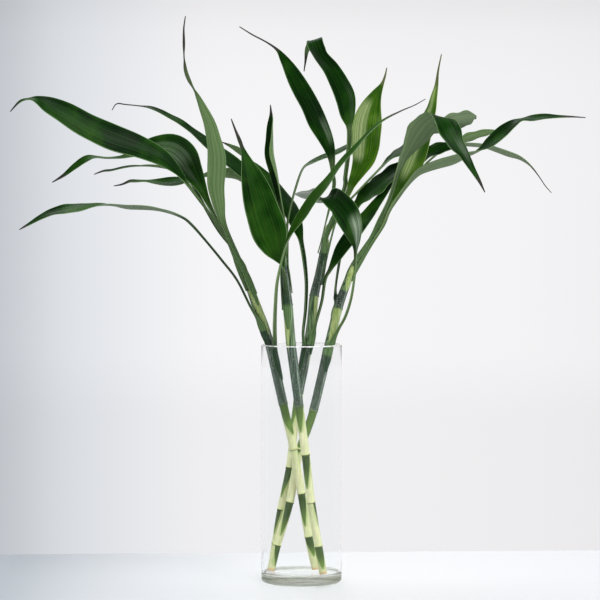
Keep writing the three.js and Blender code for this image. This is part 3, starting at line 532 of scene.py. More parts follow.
# base: the cane, the heights where the leaf starts and leaves it, bearing and clasp
# rib: x, y, z, width, curl and turn from stalk to tip, in mm, radians and degrees
leaves = {
    "leaf_left_low": {
        "base": ["stem_left", 303, 327, 236, 46], "grey": 0.6, "stalk": -0.1, "wave": 0.9, "rib": [
        [-64.5, -29, 348, 7.5, 1.4, -90], [-81, -32, 381, 7.5, 1.4, -92],
        [-100, -35, 406, 7.5, 1.35, -95], [-121, -42, 432, 7.5, 1.3, -95], [-138, -48, 451, 9, 1.2, -98],
        [-150, -52, 460, 9, 0.9, -100], [-175, -60, 468, 17, 0.5, -103], [-206, -70, 471, 22, 0.35, -104],
        [-238, -82, 475, 24, 0.3, -92], [-266, -92, 473, 23, 0.3, -70], [-293, -100, 469, 19, 0.3, -56],
        [-313, -106, 463, 13, 0.35, -56], [-331, -110, 453, 7, 0.4, -60], [-344, -112, 446, 1, 0.4, -60]]},
    "leaf_left_broad": {
        "base": ["stem_left", 370, 404, 215, 34], "rib": [
        [-90, -36, 424, 9, 1.4, -100], [-103, -40, 444, 9, 1.35, -95], [-116, -44, 465, 9.5, 1.3, -88],
        [-130, -48, 484, 10, 1.2, -80], [-142, -52, 500, 10, 1, -70], [-159, -56, 520, 20, 0.65, -50],
        [-177, -60, 535, 27, 0.45, -38], [-206, -66, 548, 34, 0.35, -32], [-236, -71, 559, 37, 0.3, -30],
        [-262, -76, 571, 35, 0.3, -30], [-289, -80, 587, 31, 0.3, -30], [-311, -83, 598, 24, 0.3, -34],
        [-324, -85, 604, 14, 0.35, -48], [-334, -86, 605, 8, 0.4, -72], [-345, -86, 602, 6, 0.4, -60],
        [-357, -85, 590, 1, 0.4, -60]]},
    "leaf_left_arched": {
        "base": ["stem_left", 372, 410, 120, 32], "pale": 0.04, "grey": 0.4,
        "gleam": [[0.45, 0.7, -1.1, 0.6, 0.16]], "rib": [
        [-96, -19, 434, 9, 1.35, -92], [-107, -16, 455, 9, 1.3, -75], [-119, -11, 478, 12, 1.1, -46],
        [-129, -5, 499, 20, 0.85, -28], [-139, 1, 518, 31, 0.6, -16], [-149, 8, 535, 39, 0.45, -14],
        [-164, 15, 546, 38, 0.35, -22], [-184, 22, 547, 32, 0.3, -34], [-206, 29, 542, 27, 0.3, -55],
        [-227, 33, 534, 21, 0.35, -80], [-246, 36, 533, 17, 0.4, -90], [-260, 38, 534, 14, 0.4, -80],
        [-273, 39, 532, 12, 0.4, -45], [-287, 40, 523, 9, 0.4, -32], [-301, 41, 512, 5, 0.4, -32],
        [-316, 42, 503, 1, 0.4, -35]]},
    "leaf_left_curled": {
        "base": ["stem_left", 362, 404, 36, 25], "stalk": -0.2, "rib": [
        [-103, -9, 440, 7.5, 1.35, -120], [-119, -2, 466, 7.5, 1.3, -118], [-130, 5, 486, 7.5, 1.2, -115],
        [-140, 12, 502, 10, 0.9, -112], [-153, 20, 515, 18, 0.5, -108], [-170, 30, 520, 19, 0.4, -98],
        [-192, 42, 523, 17, 0.35, -92], [-212, 52, 523, 14, 0.35, -86], [-228, 60, 521, 10, 0.4, -76],
        [-242, 66, 518, 7, 0.4, -70], [-253, 70, 517, 5, 0.4, -65], [-265, 73, 513, 1, 0.4, -60]]},
    "leaf_left_upright": {
        "base": ["stem_left", 350, 394, -64, 34], "pale": 0.3, "rib": [
        [-90, -48, 432, 9, 1.3, -158], [-98, -53, 454, 10, 1.15, -166], [-103, -57, 478, 17, 0.65, -172],
        [-106, -60, 499, 22, 0.4, -172], [-105, -63, 519, 23.5, 0.35, -172],
        [-105, -66, 536, 23, 0.35, -172], [-108, -68, 554, 19, 0.35, -172],
        [-113, -70, 575, 15, 0.35, -172], [-121, -71, 594, 10.5, 0.35, -168],
        [-127, -71, 607, 7, 0.4, -150], [-133, -70, 618, 5.5, 0.4, -110],
        [-139, -69, 630, 5.5, 0.4, -145], [-143, -67, 642, 5, 0.4, -150], [-145, -65, 658, 4, 0.4, -105],
        [-145, -63, 675, 3.6, 0.4, -145], [-145, -61, 693, 2, 0.4, -150], [-143, -60, 708, 1, 0.4, -150]]},
    "leaf_crossing": {
        "base": ["stem_left", 255, 290, -35, 55], "pale": 0.3, "grey": 0.5, "stalk": 0.55, "slim": 12,
        "rib": [
        [-32, -23, 306, 9, 1.25, 128], [-32, -32, 327, 9, 1.2, 120], [-31, -44, 352, 9, 1.2, 112],
        [-29, -60, 379, 9, 1.15, 104], [-24, -72, 405, 8, 1.05, 94], [-17, -79, 429, 12, 0.8, 80],
        [-7, -83, 449, 19, 0.55, 66], [4, -86, 466, 24, 0.4, 60], [15, -88, 482, 25, 0.35, 62],
        [30, -91, 501, 24, 0.3, 68], [48, -94, 525, 22, 0.3, 74], [69, -97, 549, 19, 0.3, 76],
        [86, -100, 567, 15, 0.35, 78], [102, -102, 580, 10, 0.4, 80], [123, -104, 591, 5, 0.4, 80],
        [137, -105, 597, 3, 0.4, 80], [151, -106, 605, 1, 0.4, 80]]},
    "leaf_front_broad": {
        "base": ["stem_front", 322, 356, -105, 38], "rib": [
        [-22, -52, 381, 10, 1.25, -110], [-24, -56, 397, 11, 1, -80], [-29, -60, 411, 24, 0.65, -45],
        [-35, -63, 425, 37, 0.4, -28], [-41, -66, 443, 47, 0.28, -20], [-49, -67, 468, 44, 0.25, -18],
        [-56, -66, 492, 38, 0.25, -18], [-62, -64, 511, 28.5, 0.28, -18], [-68, -61, 530, 14, 0.35, -20],
        [-73, -58, 545, 5.5, 0.4, -20], [-77, -56, 556, 5, 0.4, -25], [-82, -53, 568, 3.5, 0.4, -50],
        [-87, -50, 582, 1, 0.4, -30]]},
    "leaf_arching": {
        "base": ["stem_front", 345, 388, 168, 28], "rib": [
        [-26, -30, 412, 7.5, 1.35, -95], [-31, -20, 436, 7.5, 1.25, -85], [-41, -8, 466, 9, 1, -70],
        [-57, 4, 496, 17, 0.6, -55], [-76, 14, 517, 22, 0.4, -46], [-95, 24, 533, 23, 0.35, -46],
        [-122, 38, 554, 20, 0.35, -58], [-141, 48, 569, 16, 0.35, -62], [-154, 54, 579, 13, 0.35, -58],
        [-167, 59, 586, 10, 0.35, -55], [-180, 63, 593, 8, 0.4, -52], [-193, 67, 598, 6, 0.4, -55],
        [-207, 71, 600, 4, 0.4, -75], [-225, 75, 602, 3, 0.4, -70], [-236, 77, 603, 2, 0.4, -60],
        [-242, 78, 595, 1, 0.4, -60]]},
    "leaf_level": {
        "base": ["stem_front", 338, 380, 95, 30], "rib": [
        [-23, -26, 404, 7.5, 1.35, -120], [-28, -8, 431, 7.5, 1.25, -120], [-40, 12, 462, 7, 1, -122],
        [-56, 34, 490, 13, 0.7, -125], [-77, 54, 508, 19, 0.45, -128], [-92, 66, 513, 22, 0.35, -124],
        [-112, 78, 512, 23, 0.35, -112], [-131, 88, 508, 22, 0.35, -85], [-151, 97, 504, 20, 0.35, -62],
        [-171, 105, 503, 17, 0.35, -50], [-186, 111, 503, 12, 0.4, -52], [-201, 116, 504, 7, 0.4, -70],
        [-213, 120, 504, 6, 0.4, -55], [-222, 122, 504, 5, 0.4, -45], [-232, 124, 500, 3, 0.4, -45],
        [-243, 126, 498, 1, 0.4, -45]]},
    "leaf_folded": {
        "base": ["stem_front", 386, 409, 72, 20], "rib": [
        [-20, -33, 435, 9, 1.35, 20], [-22, -30, 455, 9.5, 1.3, 34], [-25, -26, 476, 10, 1.25, 50],
        [-28, -22, 497, 17, 1.2, 62], [-31, -18, 518, 27, 1.15, 72], [-35, -15, 539, 33, 1.1, 76],
        [-36, -13, 558, 24, 1.1, 70], [-37, -11, 574, 15, 1, 56], [-38, -10, 588, 4.5, 0.6, 30],
        [-39, -9, 600, 1, 0.4, 10]]},
    "leaf_kinked": {
        "base": ["stem_front", 365, 402, 12, 25], "pale": 0.12, "grey": 0.8, "stalk": 0.05, "rib": [
        [-17, -27, 431, 6, 1.35, 60], [-17, -22, 450, 6, 1.3, 70], [-13, -14, 472, 6, 1.3, 76],
        [-7, -5, 495, 6, 1.3, 80], [2, 6, 519, 7, 1, 80], [13, 18, 527, 13, 0.55, 70],
        [28, 31, 534, 15, 0.4, 66], [45, 43, 541, 14, 0.35, 64], [62, 54, 550, 11, 0.35, 66],
        [77, 62, 558, 6, 0.4, 68], [90, 68, 562, 1, 0.4, 70]]},
    "leaf_back_shaded": {
        # its stalk's low value paints it darker: its own dark green with painted shade where it stands at
        # the back
        "base": ["stem_back", 255, 290, -150, 46], "stalk": -0.35, "rib": [
        [1, 29.8, 314, 7.5, 1.3, -70], [4, 30, 343, 7.5, 1.3, -62], [5, 31, 376, 7.5, 1.3, -55],
        [2, 31, 406, 9, 1.2, -50], [-2, 31, 429, 10, 1, -46], [-7, 31, 447, 20, 0.6, -42],
        [-15, 32, 466, 27, 0.4, -40], [-28, 33, 484, 27, 0.35, -42], [-44, 35, 505, 24, 0.35, -50],
        [-60, 38, 524, 19, 0.35, -70], [-77, 41, 540, 15, 0.35, -120], [-89, 43, 548, 8, 0.4, -125],
        [-101, 45, 554, 1, 0.4, -120]]},
    "leaf_top_left": {
        "base": ["stem_back", 412, 446, 180, 32], "gleam": [[0.4, 0.55, 0.1, 1, 0.35]], "rib": [
        [40, 44, 496, 6, 1.3, -35], [39, 38, 514, 6, 1.2, -28], [38, 30, 530, 9, 0.8, -22],
        [35, 22, 545, 15, 0.5, -20], [29, 13, 560, 21, 0.35, -20], [19, 2, 580, 26, 0.3, -22],
        [10, -8, 599, 26, 0.28, -24], [-1, -17, 619, 25, 0.28, -25], [-13, -25, 640, 20, 0.3, -26],
        [-23, -31, 657, 11.5, 0.35, -28], [-31, -34, 668, 4.5, 0.4, -40], [-44, -37, 677, 3, 0.4, -60],
        [-61, -39, 686, 2, 0.4, -50], [-77, -40, 696, 1, 0.4, -45]]},
    "leaf_top_hooked": {
        "base": ["stem_back", 398, 436, -85, 32], "gleam": [[0.45, 0.7, 0.3, 0.9, 0.15]], "rib": [
        [52, 42, 493, 9.5, 1.3, -60], [54, 35, 511, 9.5, 1.25, -55], [57, 24, 536, 9.5, 1.25, -50],
        [59, 15, 559, 9.5, 1.15, -40], [59, 9, 573, 9.5, 1, -30], [57, 3, 589, 21, 0.6, -20],
        [54, -4, 609, 27, 0.4, -16], [47, -9, 626, 25, 0.32, -16], [37, -12, 644, 21.5, 0.3, -16],
        [25, -13, 659, 18.5, 0.3, -14], [20, -13, 669, 19.5, 0.22, -8], [17, -11, 676, 20.5, 0.16, -4],
        [16, -6, 681, 20.5, 0.12, None], [15, 0, 680, 18, 0.12, None], [11, 3, 675, 12, 0.2, None],
        [7, 4, 668, 7, 0.35, None], [5, 5, 655, 3, 0.4, None], [3, 6, 642, 1, 0.4, None]]},
    "leaf_bright": {
        "base": ["stem_back", 402, 440, 60, 32],
        "gleam": [[0.5, 0.85, -1.2, 0.1, 0.7], [0.6, 0.8, 0.5, 0.9, 0.3]], "fresh": True, "rib": [
        [59, 47, 487, 9, 1.3, 20], [65, 46, 502, 13, 0.8, 15], [73, 42, 519, 21, 0.5, 12],
        [79, 37, 534, 30, 0.35, 10], [81, 32, 549, 36, 0.28, 8], [82, 28, 565, 37.5, 0.25, 8],
        [84, 24, 582, 36, 0.25, 8], [88, 21, 598, 27, 0.28, 8], [94, 18, 613, 15, 0.32, 8],
        [101, 16, 626, 5, 0.4, 10], [105, 15, 637, 2.5, 0.4, 30], [107, 14, 647, 1, 0.4, 30]]},
    "leaf_slim_right": {
        "base": ["stem_back", 374, 412, -18, 26], "grey": 0.4, "tip": 0.0, "wave": 1.8, "rib": [
        [45, 36, 456, 6, 1.35, 80], [57, 33, 475, 6, 1.35, 82], [70, 32, 489, 6, 1.3, 84],
        [86, 34, 506, 6, 1.2, 84], [102, 43, 522, 7, 1, 80], [116, 55, 535, 14, 0.6, 62],
        [132, 66, 545, 20, 0.45, 58], [150, 75, 557, 24, 0.35, 80], [171, 82, 570, 26, 0.35, 110],
        [191, 87, 578, 26, 0.35, 140], [205, 91, 582, 24, 0.35, 158], [215, 93, 585, 18, 0.4, 160],
        [222, 95, 586, 8, 0.4, 160], [224, 96, 584, 1, 0.4, 160]]},
    "leaf_low_right": {
        "base": ["stem_back", 284, 312, -42, 40], "grey": 0.6, "stalk": 0.05, "rib": [
        [21.5, 31.5, 333, 7.5, 1.3, 75], [27, 31, 354, 7.5, 1.3, 70], [31, 31, 380, 7.5, 1.25, 62],
        [37, 31, 392, 9, 0.9, 52], [44, 31, 405, 15, 0.6, 44], [52, 32, 419, 21, 0.4, 40],
        [64, 35, 435, 24, 0.35, 40], [75, 40, 450, 23, 0.32, 42], [87, 46, 464, 20, 0.32, 44],
        [98, 53, 479, 15, 0.35, 46], [109, 60, 493, 10, 0.4, 50], [118, 66, 506, 5, 0.4, 55],
        [126, 71, 517, 1, 0.4, 60]]},
    "leaf_bent_over": {
        "base": ["stem_right", 265, 298, -60, 45], "dry": 0.86, "tip": 0.0, "stalk": 0.4,
        "gleam": [[0.5, 0.74, -0.2, 1.1, 0.85], [0.4, 0.52, -1, 1, 0.4]], "rib": [
        [47, 9, 317, 7.5, 1.3, 120], [56, 4, 334, 7.5, 1.3, 112], [63, -6, 357, 7.5, 1.3, 105],
        [67, -19, 385, 7.5, 1.25, 92], [68, -30, 405, 8, 1.15, 75], [68, -38, 421, 9, 0.95, 50],
        [66, -46, 434, 17, 0.6, 20], [62, -54, 449, 27, 0.4, -5], [55, -61, 464, 35, 0.3, -22],
        [44, -67, 477, 38, 0.28, -38], [36, -70, 482, 37, 0.26, -46], [27, -68, 484, 34, 0.24, -80],
        [19, -61, 486, 26, 0.26, -130], [9, -56, 487, 14, 0.36, -152], [-1, -54, 488, 9.5, 0.4, -145],
        [-9, -53, 489, 1, 0.4, -135]]},
    "leaf_right_dark": {
        "base": ["stem_right", 322, 350, 110, 42], "stalk": -0.3, "tip": 0.0, "wave": 1.6, "rib": [
        [44, 36.5, 368, 7.5, 1.3, 85], [48, 42, 396, 7.5, 1.3, 80], [53, 47, 421, 7.5, 1.3, 72],
        [61, 52, 446, 9, 1.1, 64], [70, 56, 469, 14, 0.7, 50], [82, 60, 486, 24, 0.4, 42],
        [96, 63, 498, 27, 0.32, 42], [114, 67, 512, 27, 0.3, 46], [133, 71, 523, 26, 0.3, 50],
        [153, 75, 535, 25, 0.3, 50], [171, 79, 543, 23, 0.3, 50], [187, 83, 549, 20, 0.32, 58],
        [203, 87, 555, 18, 0.32, 110], [220, 90, 561, 16, 0.35, 135], [237, 93, 566, 11, 0.38, 140],
        [251, 95, 569, 2, 0.4, 140]]},
    "leaf_right_fallen": {
        "base": ["stem_right", 398, 436, -110, 30], "grey": 0.2, "wave": 1.1,
        "gleam": [[0.76, 0.9, -1.0, 0.2, 0.2]], "rib": [
        [108.5, 33, 472, 10, 1.3, 112], [116, 31, 491, 10, 1.2, 118], [122, 28, 512, 10, 1, 128],
        [130, 24, 531, 16, 0.75, 138], [140, 18, 549, 26, 0.5, 144], [149, 11, 563, 41, 0.35, 142],
        [158, 4, 575, 42, 0.26, 138], [167, -6, 583, 41, 0.2, None], [173, -19, 585, 40, 0.18, None],
        [178, -31, 578, 38, 0.2, None], [185, -38, 564, 29, 0.26, 26], [193, -42, 549, 20, 0.3, 24],
        [202, -44, 536, 14, 0.32, 22], [210, -47, 522, 9, 0.35, 22], [220, -49, 505, 4.5, 0.4, 22],
        [227, -50, 491, 1, 0.4, 25]]},
    "leaf_right_bright": {
        "base": ["stem_right", 402, 436, 40, 28], "gleam": [[0.4, 0.9, -0.9, 0.3, 0.55]], "fresh": True,
        "rib": [
        [113, 42, 473, 10, 1.2, 60], [120, 44, 486, 14, 0.8, 45], [128, 46, 500, 21, 0.5, 34],
        [136, 48, 515, 26, 0.38, 26], [143, 50, 531, 28, 0.32, 20], [149, 51, 548, 27, 0.3, 18],
        [155, 52, 566, 23, 0.3, 18], [160, 51, 582, 18, 0.32, 18], [165, 50, 596, 13, 0.35, 20],
        [168, 49, 611, 9, 0.38, 20], [171, 48, 626, 5, 0.4, 20], [173, 46, 644, 2.5, 0.4, 30],
        [177, 44, 665, 1, 0.4, 30]]},
    "leaf_right_long": {
        "base": ["stem_right", 380, 420, -35, 30], "grey": 0.3, "stalk": 0.5, "rib": [
        [104, 24, 447, 9.5, 1.3, 94], [111, 20, 464, 10.5, 1.25, 98], [120, 20, 480, 9.5, 1.15, 104],
        [130, 20, 493, 11, 1.05, 110], [140, 20, 505, 14, 0.95, 114], [149, 18, 513, 19, 0.85, 117],
        [160, 16, 518, 24, 0.75, 118], [177, 14, 524, 27, 0.62, 118], [190, 12, 528, 28, 0.55, 115],
        [203, 10, 533, 28, 0.48, 108], [223, 8, 542, 26, 0.4, 88], [238, 6, 553, 24, 0.35, 58],
        [253, 4, 566, 22, 0.32, 48], [266, 2, 576, 18, 0.35, 60], [277, 1, 581, 14, 0.38, 76],
        [290, -1, 583, 13, 0.35, 52], [305, -3, 585, 11, 0.35, 52], [321, -5, 585, 7, 0.4, 58],
        [337, -7, 585, 3.5, 0.4, 60], [355, -9, 584, 1, 0.4, 60]]},
    "leaf_right_back": {
        "base": ["stem_right", 376, 406, 125, 28], "grey": 0.5, "rib": [
        [96, 48, 440, 6, 1.35, 80], [114, 59, 468, 6, 1.35, 80], [129, 68, 489, 6, 1.3, 84],
        [149, 82, 515, 6, 1.2, 88], [173, 96, 537, 9, 0.9, 94], [194, 106, 548, 15, 0.55, 100],
        [215, 114, 550, 18, 0.4, 104], [236, 120, 548, 18, 0.35, 104], [253, 125, 543, 17, 0.35, 112],
        [269, 128, 538, 15, 0.35, 116], [283, 130, 533, 11, 0.38, 112], [296, 132, 524, 6, 0.4, 105],
        [307, 133, 511, 3, 0.4, 100], [316, 134, 498, 2, 0.4, 100], [324, 134, 489, 1, 0.4, 100]]},
}


def leafFrame(along, turn):
    front = Vector((0, -1, 0))
    toFront = (front - along * front.dot(along)).normalized()
    out = toFront * cos(turn) + toFront.cross(along) * sin(turn)
    return out, along.cross(out)


def baseRows(base):  # where the leaf lies against its cane
    stemName, start, end, bearing, clasp = base
    stem = stems[stemName]
    bearing = radians(bearing)
    clasp = radians(clasp)
    rows = []
    for i in range(leafPlan["baseSections"]):
        height = mix(start, end, i / (leafPlan["baseSections"] - 1))
        point, along = caneAt(stem, height)
        outward = Vector((cos(bearing), sin(bearing), 0))
        outward = (outward - along * outward.dot(along)).normalized()
        reach = caneRadius(stem, height, leafPlan["ringRise"], leafPlan["ringReach"])
        reach += leafPlan["clearance"] + leafPlan["baseThickness"] / 2
        out, across = leafFrame(along, 0)
        turn = atan2(-outward.dot(out.cross(along)), -outward.dot(out))
        rows.append([*(point + outward * reach), 2 * clasp * reach, clasp, degrees(turn)])
    return rows


def facedRows(rows):  # the turn gives way to the direction the upper face looks
    path = [row[:3] for row in rows]
    faced = []
    across = None
    for i, row in enumerate(rows):
        along = directionAt(path, i, 0.02)
        if row[5] is None:  # left open: the leaf bends on without any twist
            across = (across - along * across.dot(along)).normalized()
            out = across.cross(along)
        else:
            out, across = leafFrame(along, radians(row[5]))
        faced.append([*row[:5], *out])
    return faced


def leafSections(leaf):
    rows = facedRows(baseRows(leaf["base"]) + leaf["rib"])
    steps, length = evenSteps(rows, leafPlan["along"])
    startShare, startRows = leafPlan["baseStart"]
    baseEnd = leafPlan["baseSections"] + leafPlan["baseEnd"]
    sections = []
    for n, t in enumerate(steps):
        x, y, z, width, curl, *facing = onCurve(rows, t)
        along = directionAt(rows, t, 0.08)
        out = Vector(facing)
        out = (out - along * out.dot(along)).normalized()
        width = max(width * mix(startShare, 1, smooth(0, startRows, t)), leafPlan["leastWidth"])
        clasp = smooth(baseEnd, leafPlan["baseSections"] - 1, t)
        old = oldAt(stems[leaf["base"][0]], z)
        sections.append((Vector((x, y, z)), width, max(curl, leafPlan["leastCurl"]), out,
                         along.cross(out), length * n / leafPlan["along"], clasp * old,
                         clasp * (1 - old)))
    return sections


# how strong the painted highlight is at a point of the leaf
def gleamAt(patches, beyond, u):
    total = 0
    ends, sides = leafPlan["gleamSoft"]
    for start, end, low, high, strength in patches:
        inside = smooth(start, start + ends, beyond) * smooth(end, end - ends, beyond)
        total += strength * inside * smooth(low, low + sides, u) * smooth(high, high - sides, u)
    return total


def makeLeaf(name, leaf, seed):
    phase = random.Random(seed).uniform(0, 6.28)
    sections = leafSections(leaf)
    piece = addGrid(name + "_blade", leafPlan["across"], leafPlan["along"])
    places = []
    values = {}
    for vertex in piece.data.vertices:
        row = round((vertex.co.y + 1) / 2 * leafPlan["along"])
        middle, width, curl, out, across, run, clasp, light = sections[row]
        u = vertex.co.x
        beyond = row / leafPlan["along"]
        angle = curl * u
        opening = smooth(*leafPlan["narrow"], width) * (1 - clasp - light)
        fold = leafPlan["fold"] * opening
        aside = mix(sin(angle) / curl, u * sin(curl) / curl, fold)
        rise = mix((1 - cos(angle)) / curl, abs(u) * (1 - cos(curl)) / curl, fold)
        normal = out * cos(angle) - across * sin(angle)
        pleat = leafPlan["ribDepth"] * cos(leafPlan["ribs"] * pi * u)
        pleat -= leafPlan["midDepth"] * bell(u, leafPlan["midReach"])
        wave = sin(run / leafPlan["waveLength"] + phase + 1.3 * (u > 0)) * leaf["wave"] * u ** 2
        ruffle = sin(run / leafPlan["ruffleLength"] + 2 * phase + 2 * (u > 0)) * opening
        ruffle *= (leaf["wave"] - usualLeaf["wave"]) * u ** 3
        place = middle + across * (width / 2 * aside + ruffle) + out * (width / 2 * rise)
        places += [*((place + normal * (pleat + wave) * opening) * mm)]
        ending = smooth(leaf["slim"], leaf["slim"] / 2, width)
        note(values,
             blade=max(smooth(*leafPlan["bladeWidths"], width), smooth(*leafPlan["stalkEnd"], beyond)),
             tip=ending * smooth(*leafPlan["tipStart"], beyond) * leaf["tip"],
             dry=smooth(leaf["dry"], leaf["dry"] + leafPlan["drySoft"], beyond),
             clasp=clasp,
             light=light,
             gleam=gleamAt(leaf["gleam"], beyond, u))
    piece.data.vertices.foreach_set("co", places)
    paintAll(piece.data, values)
    count = len(piece.data.vertices)
    body = piece.vertex_groups.new(name="body")
    for number, share in enumerate(values["blade"]):
        body.add([number], mix(1, leafPlan["bladeShare"], share), "REPLACE")
    shell = piece.modifiers.new("thickness", "SOLIDIFY")
    shell.vertex_group = "body"
    shell.thickness = leafPlan["thickness"] * mm
    shell.offset = 0
    applyAll(piece)
    total = len(piece.data.vertices)
    paint(piece.data, "upper", [1.0] * count + [0.0] * (total - count))
    for look in ("pale", "grey", "stalk"):
        paint(piece.data, look, [leaf[look]] * total)
    bpy.ops.object.shade_smooth_by_angle(angle=radians(60))
    return piece


def leafMaterial(name, tones):
    material, shader = newMaterial(name)
    uv = addNode(material, "UVMap", uv_map="UVMap")["UV"]
    spot = addNode(material, "TexCoord")["Object"]
    aside = addNode(material, "SeparateXYZ", {0: uv})["X"]
    edge = calculate(material, "ABSOLUTE", calculate(material, "SUBTRACT", aside, 0.5))
    streaks = noiseFrom(material, uv, 1, 2, (9, 0.9, 1))
    veins = noiseFrom(material, uv, 1, 1, (27, 0.5, 1))
    clouds = noiseFrom(material, spot, 22, 2)
    dust = noiseFrom(material, spot, 620, 2)
    upperTone = layered(material, tones, "deep", (streaks, 0.36, 0.66, 0, 1, "lit"),
                        (clouds, 0.5, 0.7, 0, 0.3, "vein"), (clouds, 0.52, 0.36, 0, 0.8, "deep"),
                        ("pale", "vein"), (veins, 0.57, 0.66, 0, 0.22, "vein"),
                        (veins, 0.42, 0.34, 0, 0.4, "deep"))
    underTone = layered(material, tones, "under", (streaks, 0.3, 0.7, 0, 1, "underPale"),
                        (veins, 0.44, 0.34, 0, 0.22, "under"), ("grey", "grey"))
    # painted highlight: pale streaks laid over the blade
    gleam = calculate(material, "MULTIPLY", attributeNode(material, "gleam"),
                      stretch(material, veins, 0.34, 0.62, 0.35, 1))
    bladeTone = layered(material, tones, underTone, ("upper", upperTone), (gleam, "gleam"))
    paleness = calculate(material, "ADD", stretch(material, streaks, 0.4, 0.6, -0.35, 0.65),
                         attributeNode(material, "stalk"), clamp=True)
    stalkTone = layered(material, tones, "stalk", (paleness, "stalkPale"),
                        (dust, 0.66, 0.72, 0, 0.6, "edge"))
    claspTone = layered(material, caneColours, "sheathDark", (streaks, 0.35, 0.65, 0, 1, "sheath"),
                        (dust, 0.7, 0.75, 0, 0.5, "dust"))
    lightTone = layered(material, caneColours, "stalk", (streaks, 0.35, 0.65, 0, 1, "stalkPale"))
    dryTone = layered(material, tones, "dry", (streaks, 0.35, 0.6, 0, 1, "grey"))
    colour = layered(material, tones, stalkTone, ("blade", bladeTone), ("clasp", claspTone),
                     ("light", lightTone), ("dry", dryTone), (edge, 0.465, 0.495, 0, 0.7, "edge"),
                     (edge, 0.014, 0, 0, 0.2, "vein"), ("tip", "tip"))
    roughness = stretch(material, clouds, 0.3, 0.7, *tones["gloss"])
    finishSkin(material, shader, colour, roughness, veins, *leafBump)
    fill(material, shader, {"Specular IOR Level": tones["shine"]})
    return material


leafBump = (0.35, 0.3)  # strength, and depth in mm
dryTones = {
    "grey": (128, 138, 122),
    "dry": (186, 188, 184),
}
deepLeaf = leafMaterial("leafGreenDeep", {
    **dryTones,
    "deep": (0, 24, 0),
    "lit": (12, 60, 0),
    "vein": (64, 112, 28),
    "under": (72, 102, 56),
    "underPale": (122, 146, 98),
    "stalk": (22, 38, 26),
    "stalkPale": (120, 148, 92),
    "tip": (58, 52, 50),
    # the pale tone of the painted highlights
    "gleam": (170, 188, 162),
    "edge": (112, 144, 92),
    "gloss": (0.34, 0.46),
    "shine": 0.07,
})
freshLeaf = leafMaterial("leafGreenFresh", {
    **dryTones,
    "deep": (28, 72, 0),
    "lit": (80, 126, 16),
    "vein": (142, 176, 84),
    "under": (96, 130, 60),
    "underPale": (130, 156, 88),
    "stalk": (76, 104, 50),
    "stalkPale": (120, 142, 84),
    "tip": (96, 104, 62),
    # the pale tone of the painted highlights
    "gleam": (196, 214, 150),
    "edge": (150, 176, 96),
    "gloss": (0.3, 0.42),
    "shine": 0.1,
})

for number, (name, leaf) in enumerate(leaves.items()):
    leaf = {**usualLeaf, **leaf}
    fresh = leaf["fresh"]
    piece = makeLeaf(name, leaf, number)
    piece.data.materials.append(freshLeaf if fresh else deepLeaf)
    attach(piece, "root")
    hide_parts(name)
print("leaves made")


vase = {
    "radius": 50.5,
    "height": 300,
    "wall": 2.8,
    "base": 12,
    "foot": 5,  # mm, the rounding under the base
    "fillet": 2,  # and inside on the floor
    "sides": 256,
    "heights": (30, 80, 150, 220, 270),  # of the rings of points in the wall
    "baseEdge": 11.6,  # the height where the cloudy glass of the base ends
    "hazeAbove": 3,  # mm over the base, up to which a face counts as its own
    "rimDepth": 1.6,
    "shadow": (0.97, 0.98, 0.975),  # the tint of the light that falls through
}
# how strong the flat veil over the glass is, from its faintest to its strongest band: cloudy glass on the
# base, and on the rim a near-white painted highlight
glassParts = {
    "vaseWallGlass": {"tint": (0.985, 0.99, 0.99), "bending": 1.13},
    "vaseBaseGlass": {"tint": (0.72, 0.74, 0.69), "bending": 1.2, "haze_and_highlight": (0.189, 0.63),
                      "haze_and_highlight_tone": (0.32, 0.34, 0.28)},
    # the rim's near-white veil is a painted highlight, standing for the lamps' reflection on the lip
    "vaseRimGlass": {"tint": (0.9, 0.92, 0.9), "bending": 1.55, "haze_and_highlight": (0.225, 0.75),
                     "haze_and_highlight_tone": (0.97, 0.97, 0.97), "grain": (260, 260, 260)},
    "vaseFloorGlass": {"tint": (0.96, 0.965, 0.95), "bending": 1.2},
}


def arc(aside, height, radius, start, end, steps):
    points = []
    for i in range(steps + 1):
        angle = radians(mix(start, end, i / steps))
        points.append((aside + radius * cos(angle), height + radius * sin(angle)))
    return points


def vaseProfile():  # radius and height, from the underside round to the inside
    radius = vase["radius"]
    foot = vase["foot"]
    inner = radius - vase["wall"]
    lip = vase["wall"] / 2
    fillet = vase["fillet"]
    profile = arc(radius - foot, foot, foot, -90, 0, 8)
    profile += [(radius, height) for height in (vase["baseEdge"], *vase["heights"])]
    profile += arc(radius - lip, vase["height"] - lip, lip, 0, 180, 8)
    profile += [(inner, height) for height in reversed(vase["heights"])]
    profile += arc(inner - fillet, vase["base"] + fillet, fillet, 0, -90, 6)
    return profile


profile = vaseProfile()
bpy.ops.mesh.primitive_circle_add(vertices=vase["sides"], radius=profile[0][0] * mm,
                                  fill_type="NGON")
vasePiece = bpy.context.object
vasePiece.name = "vase_glass"
bpy.ops.object.mode_set(mode="EDIT")
bpy.ops.mesh.select_all(action="SELECT")
for (r0, z0), (r1, z1) in zip(profile, profile[1:]):
    bpy.ops.mesh.extrude_region_move(TRANSFORM_OT_translate={"value": (0, 0, (z1 - z0) * mm)})
    if r1 != r0:
        bpy.ops.transform.resize(value=(r1 / r0, r1 / r0, 1), center_override=(0, 0, 0))
bpy.ops.mesh.select_all(action="SELECT")
bpy.ops.mesh.normals_make_consistent(inside=False)
bpy.ops.object.mode_set(mode="OBJECT")
bpy.ops.object.shade_smooth_by_angle(angle=radians(35))


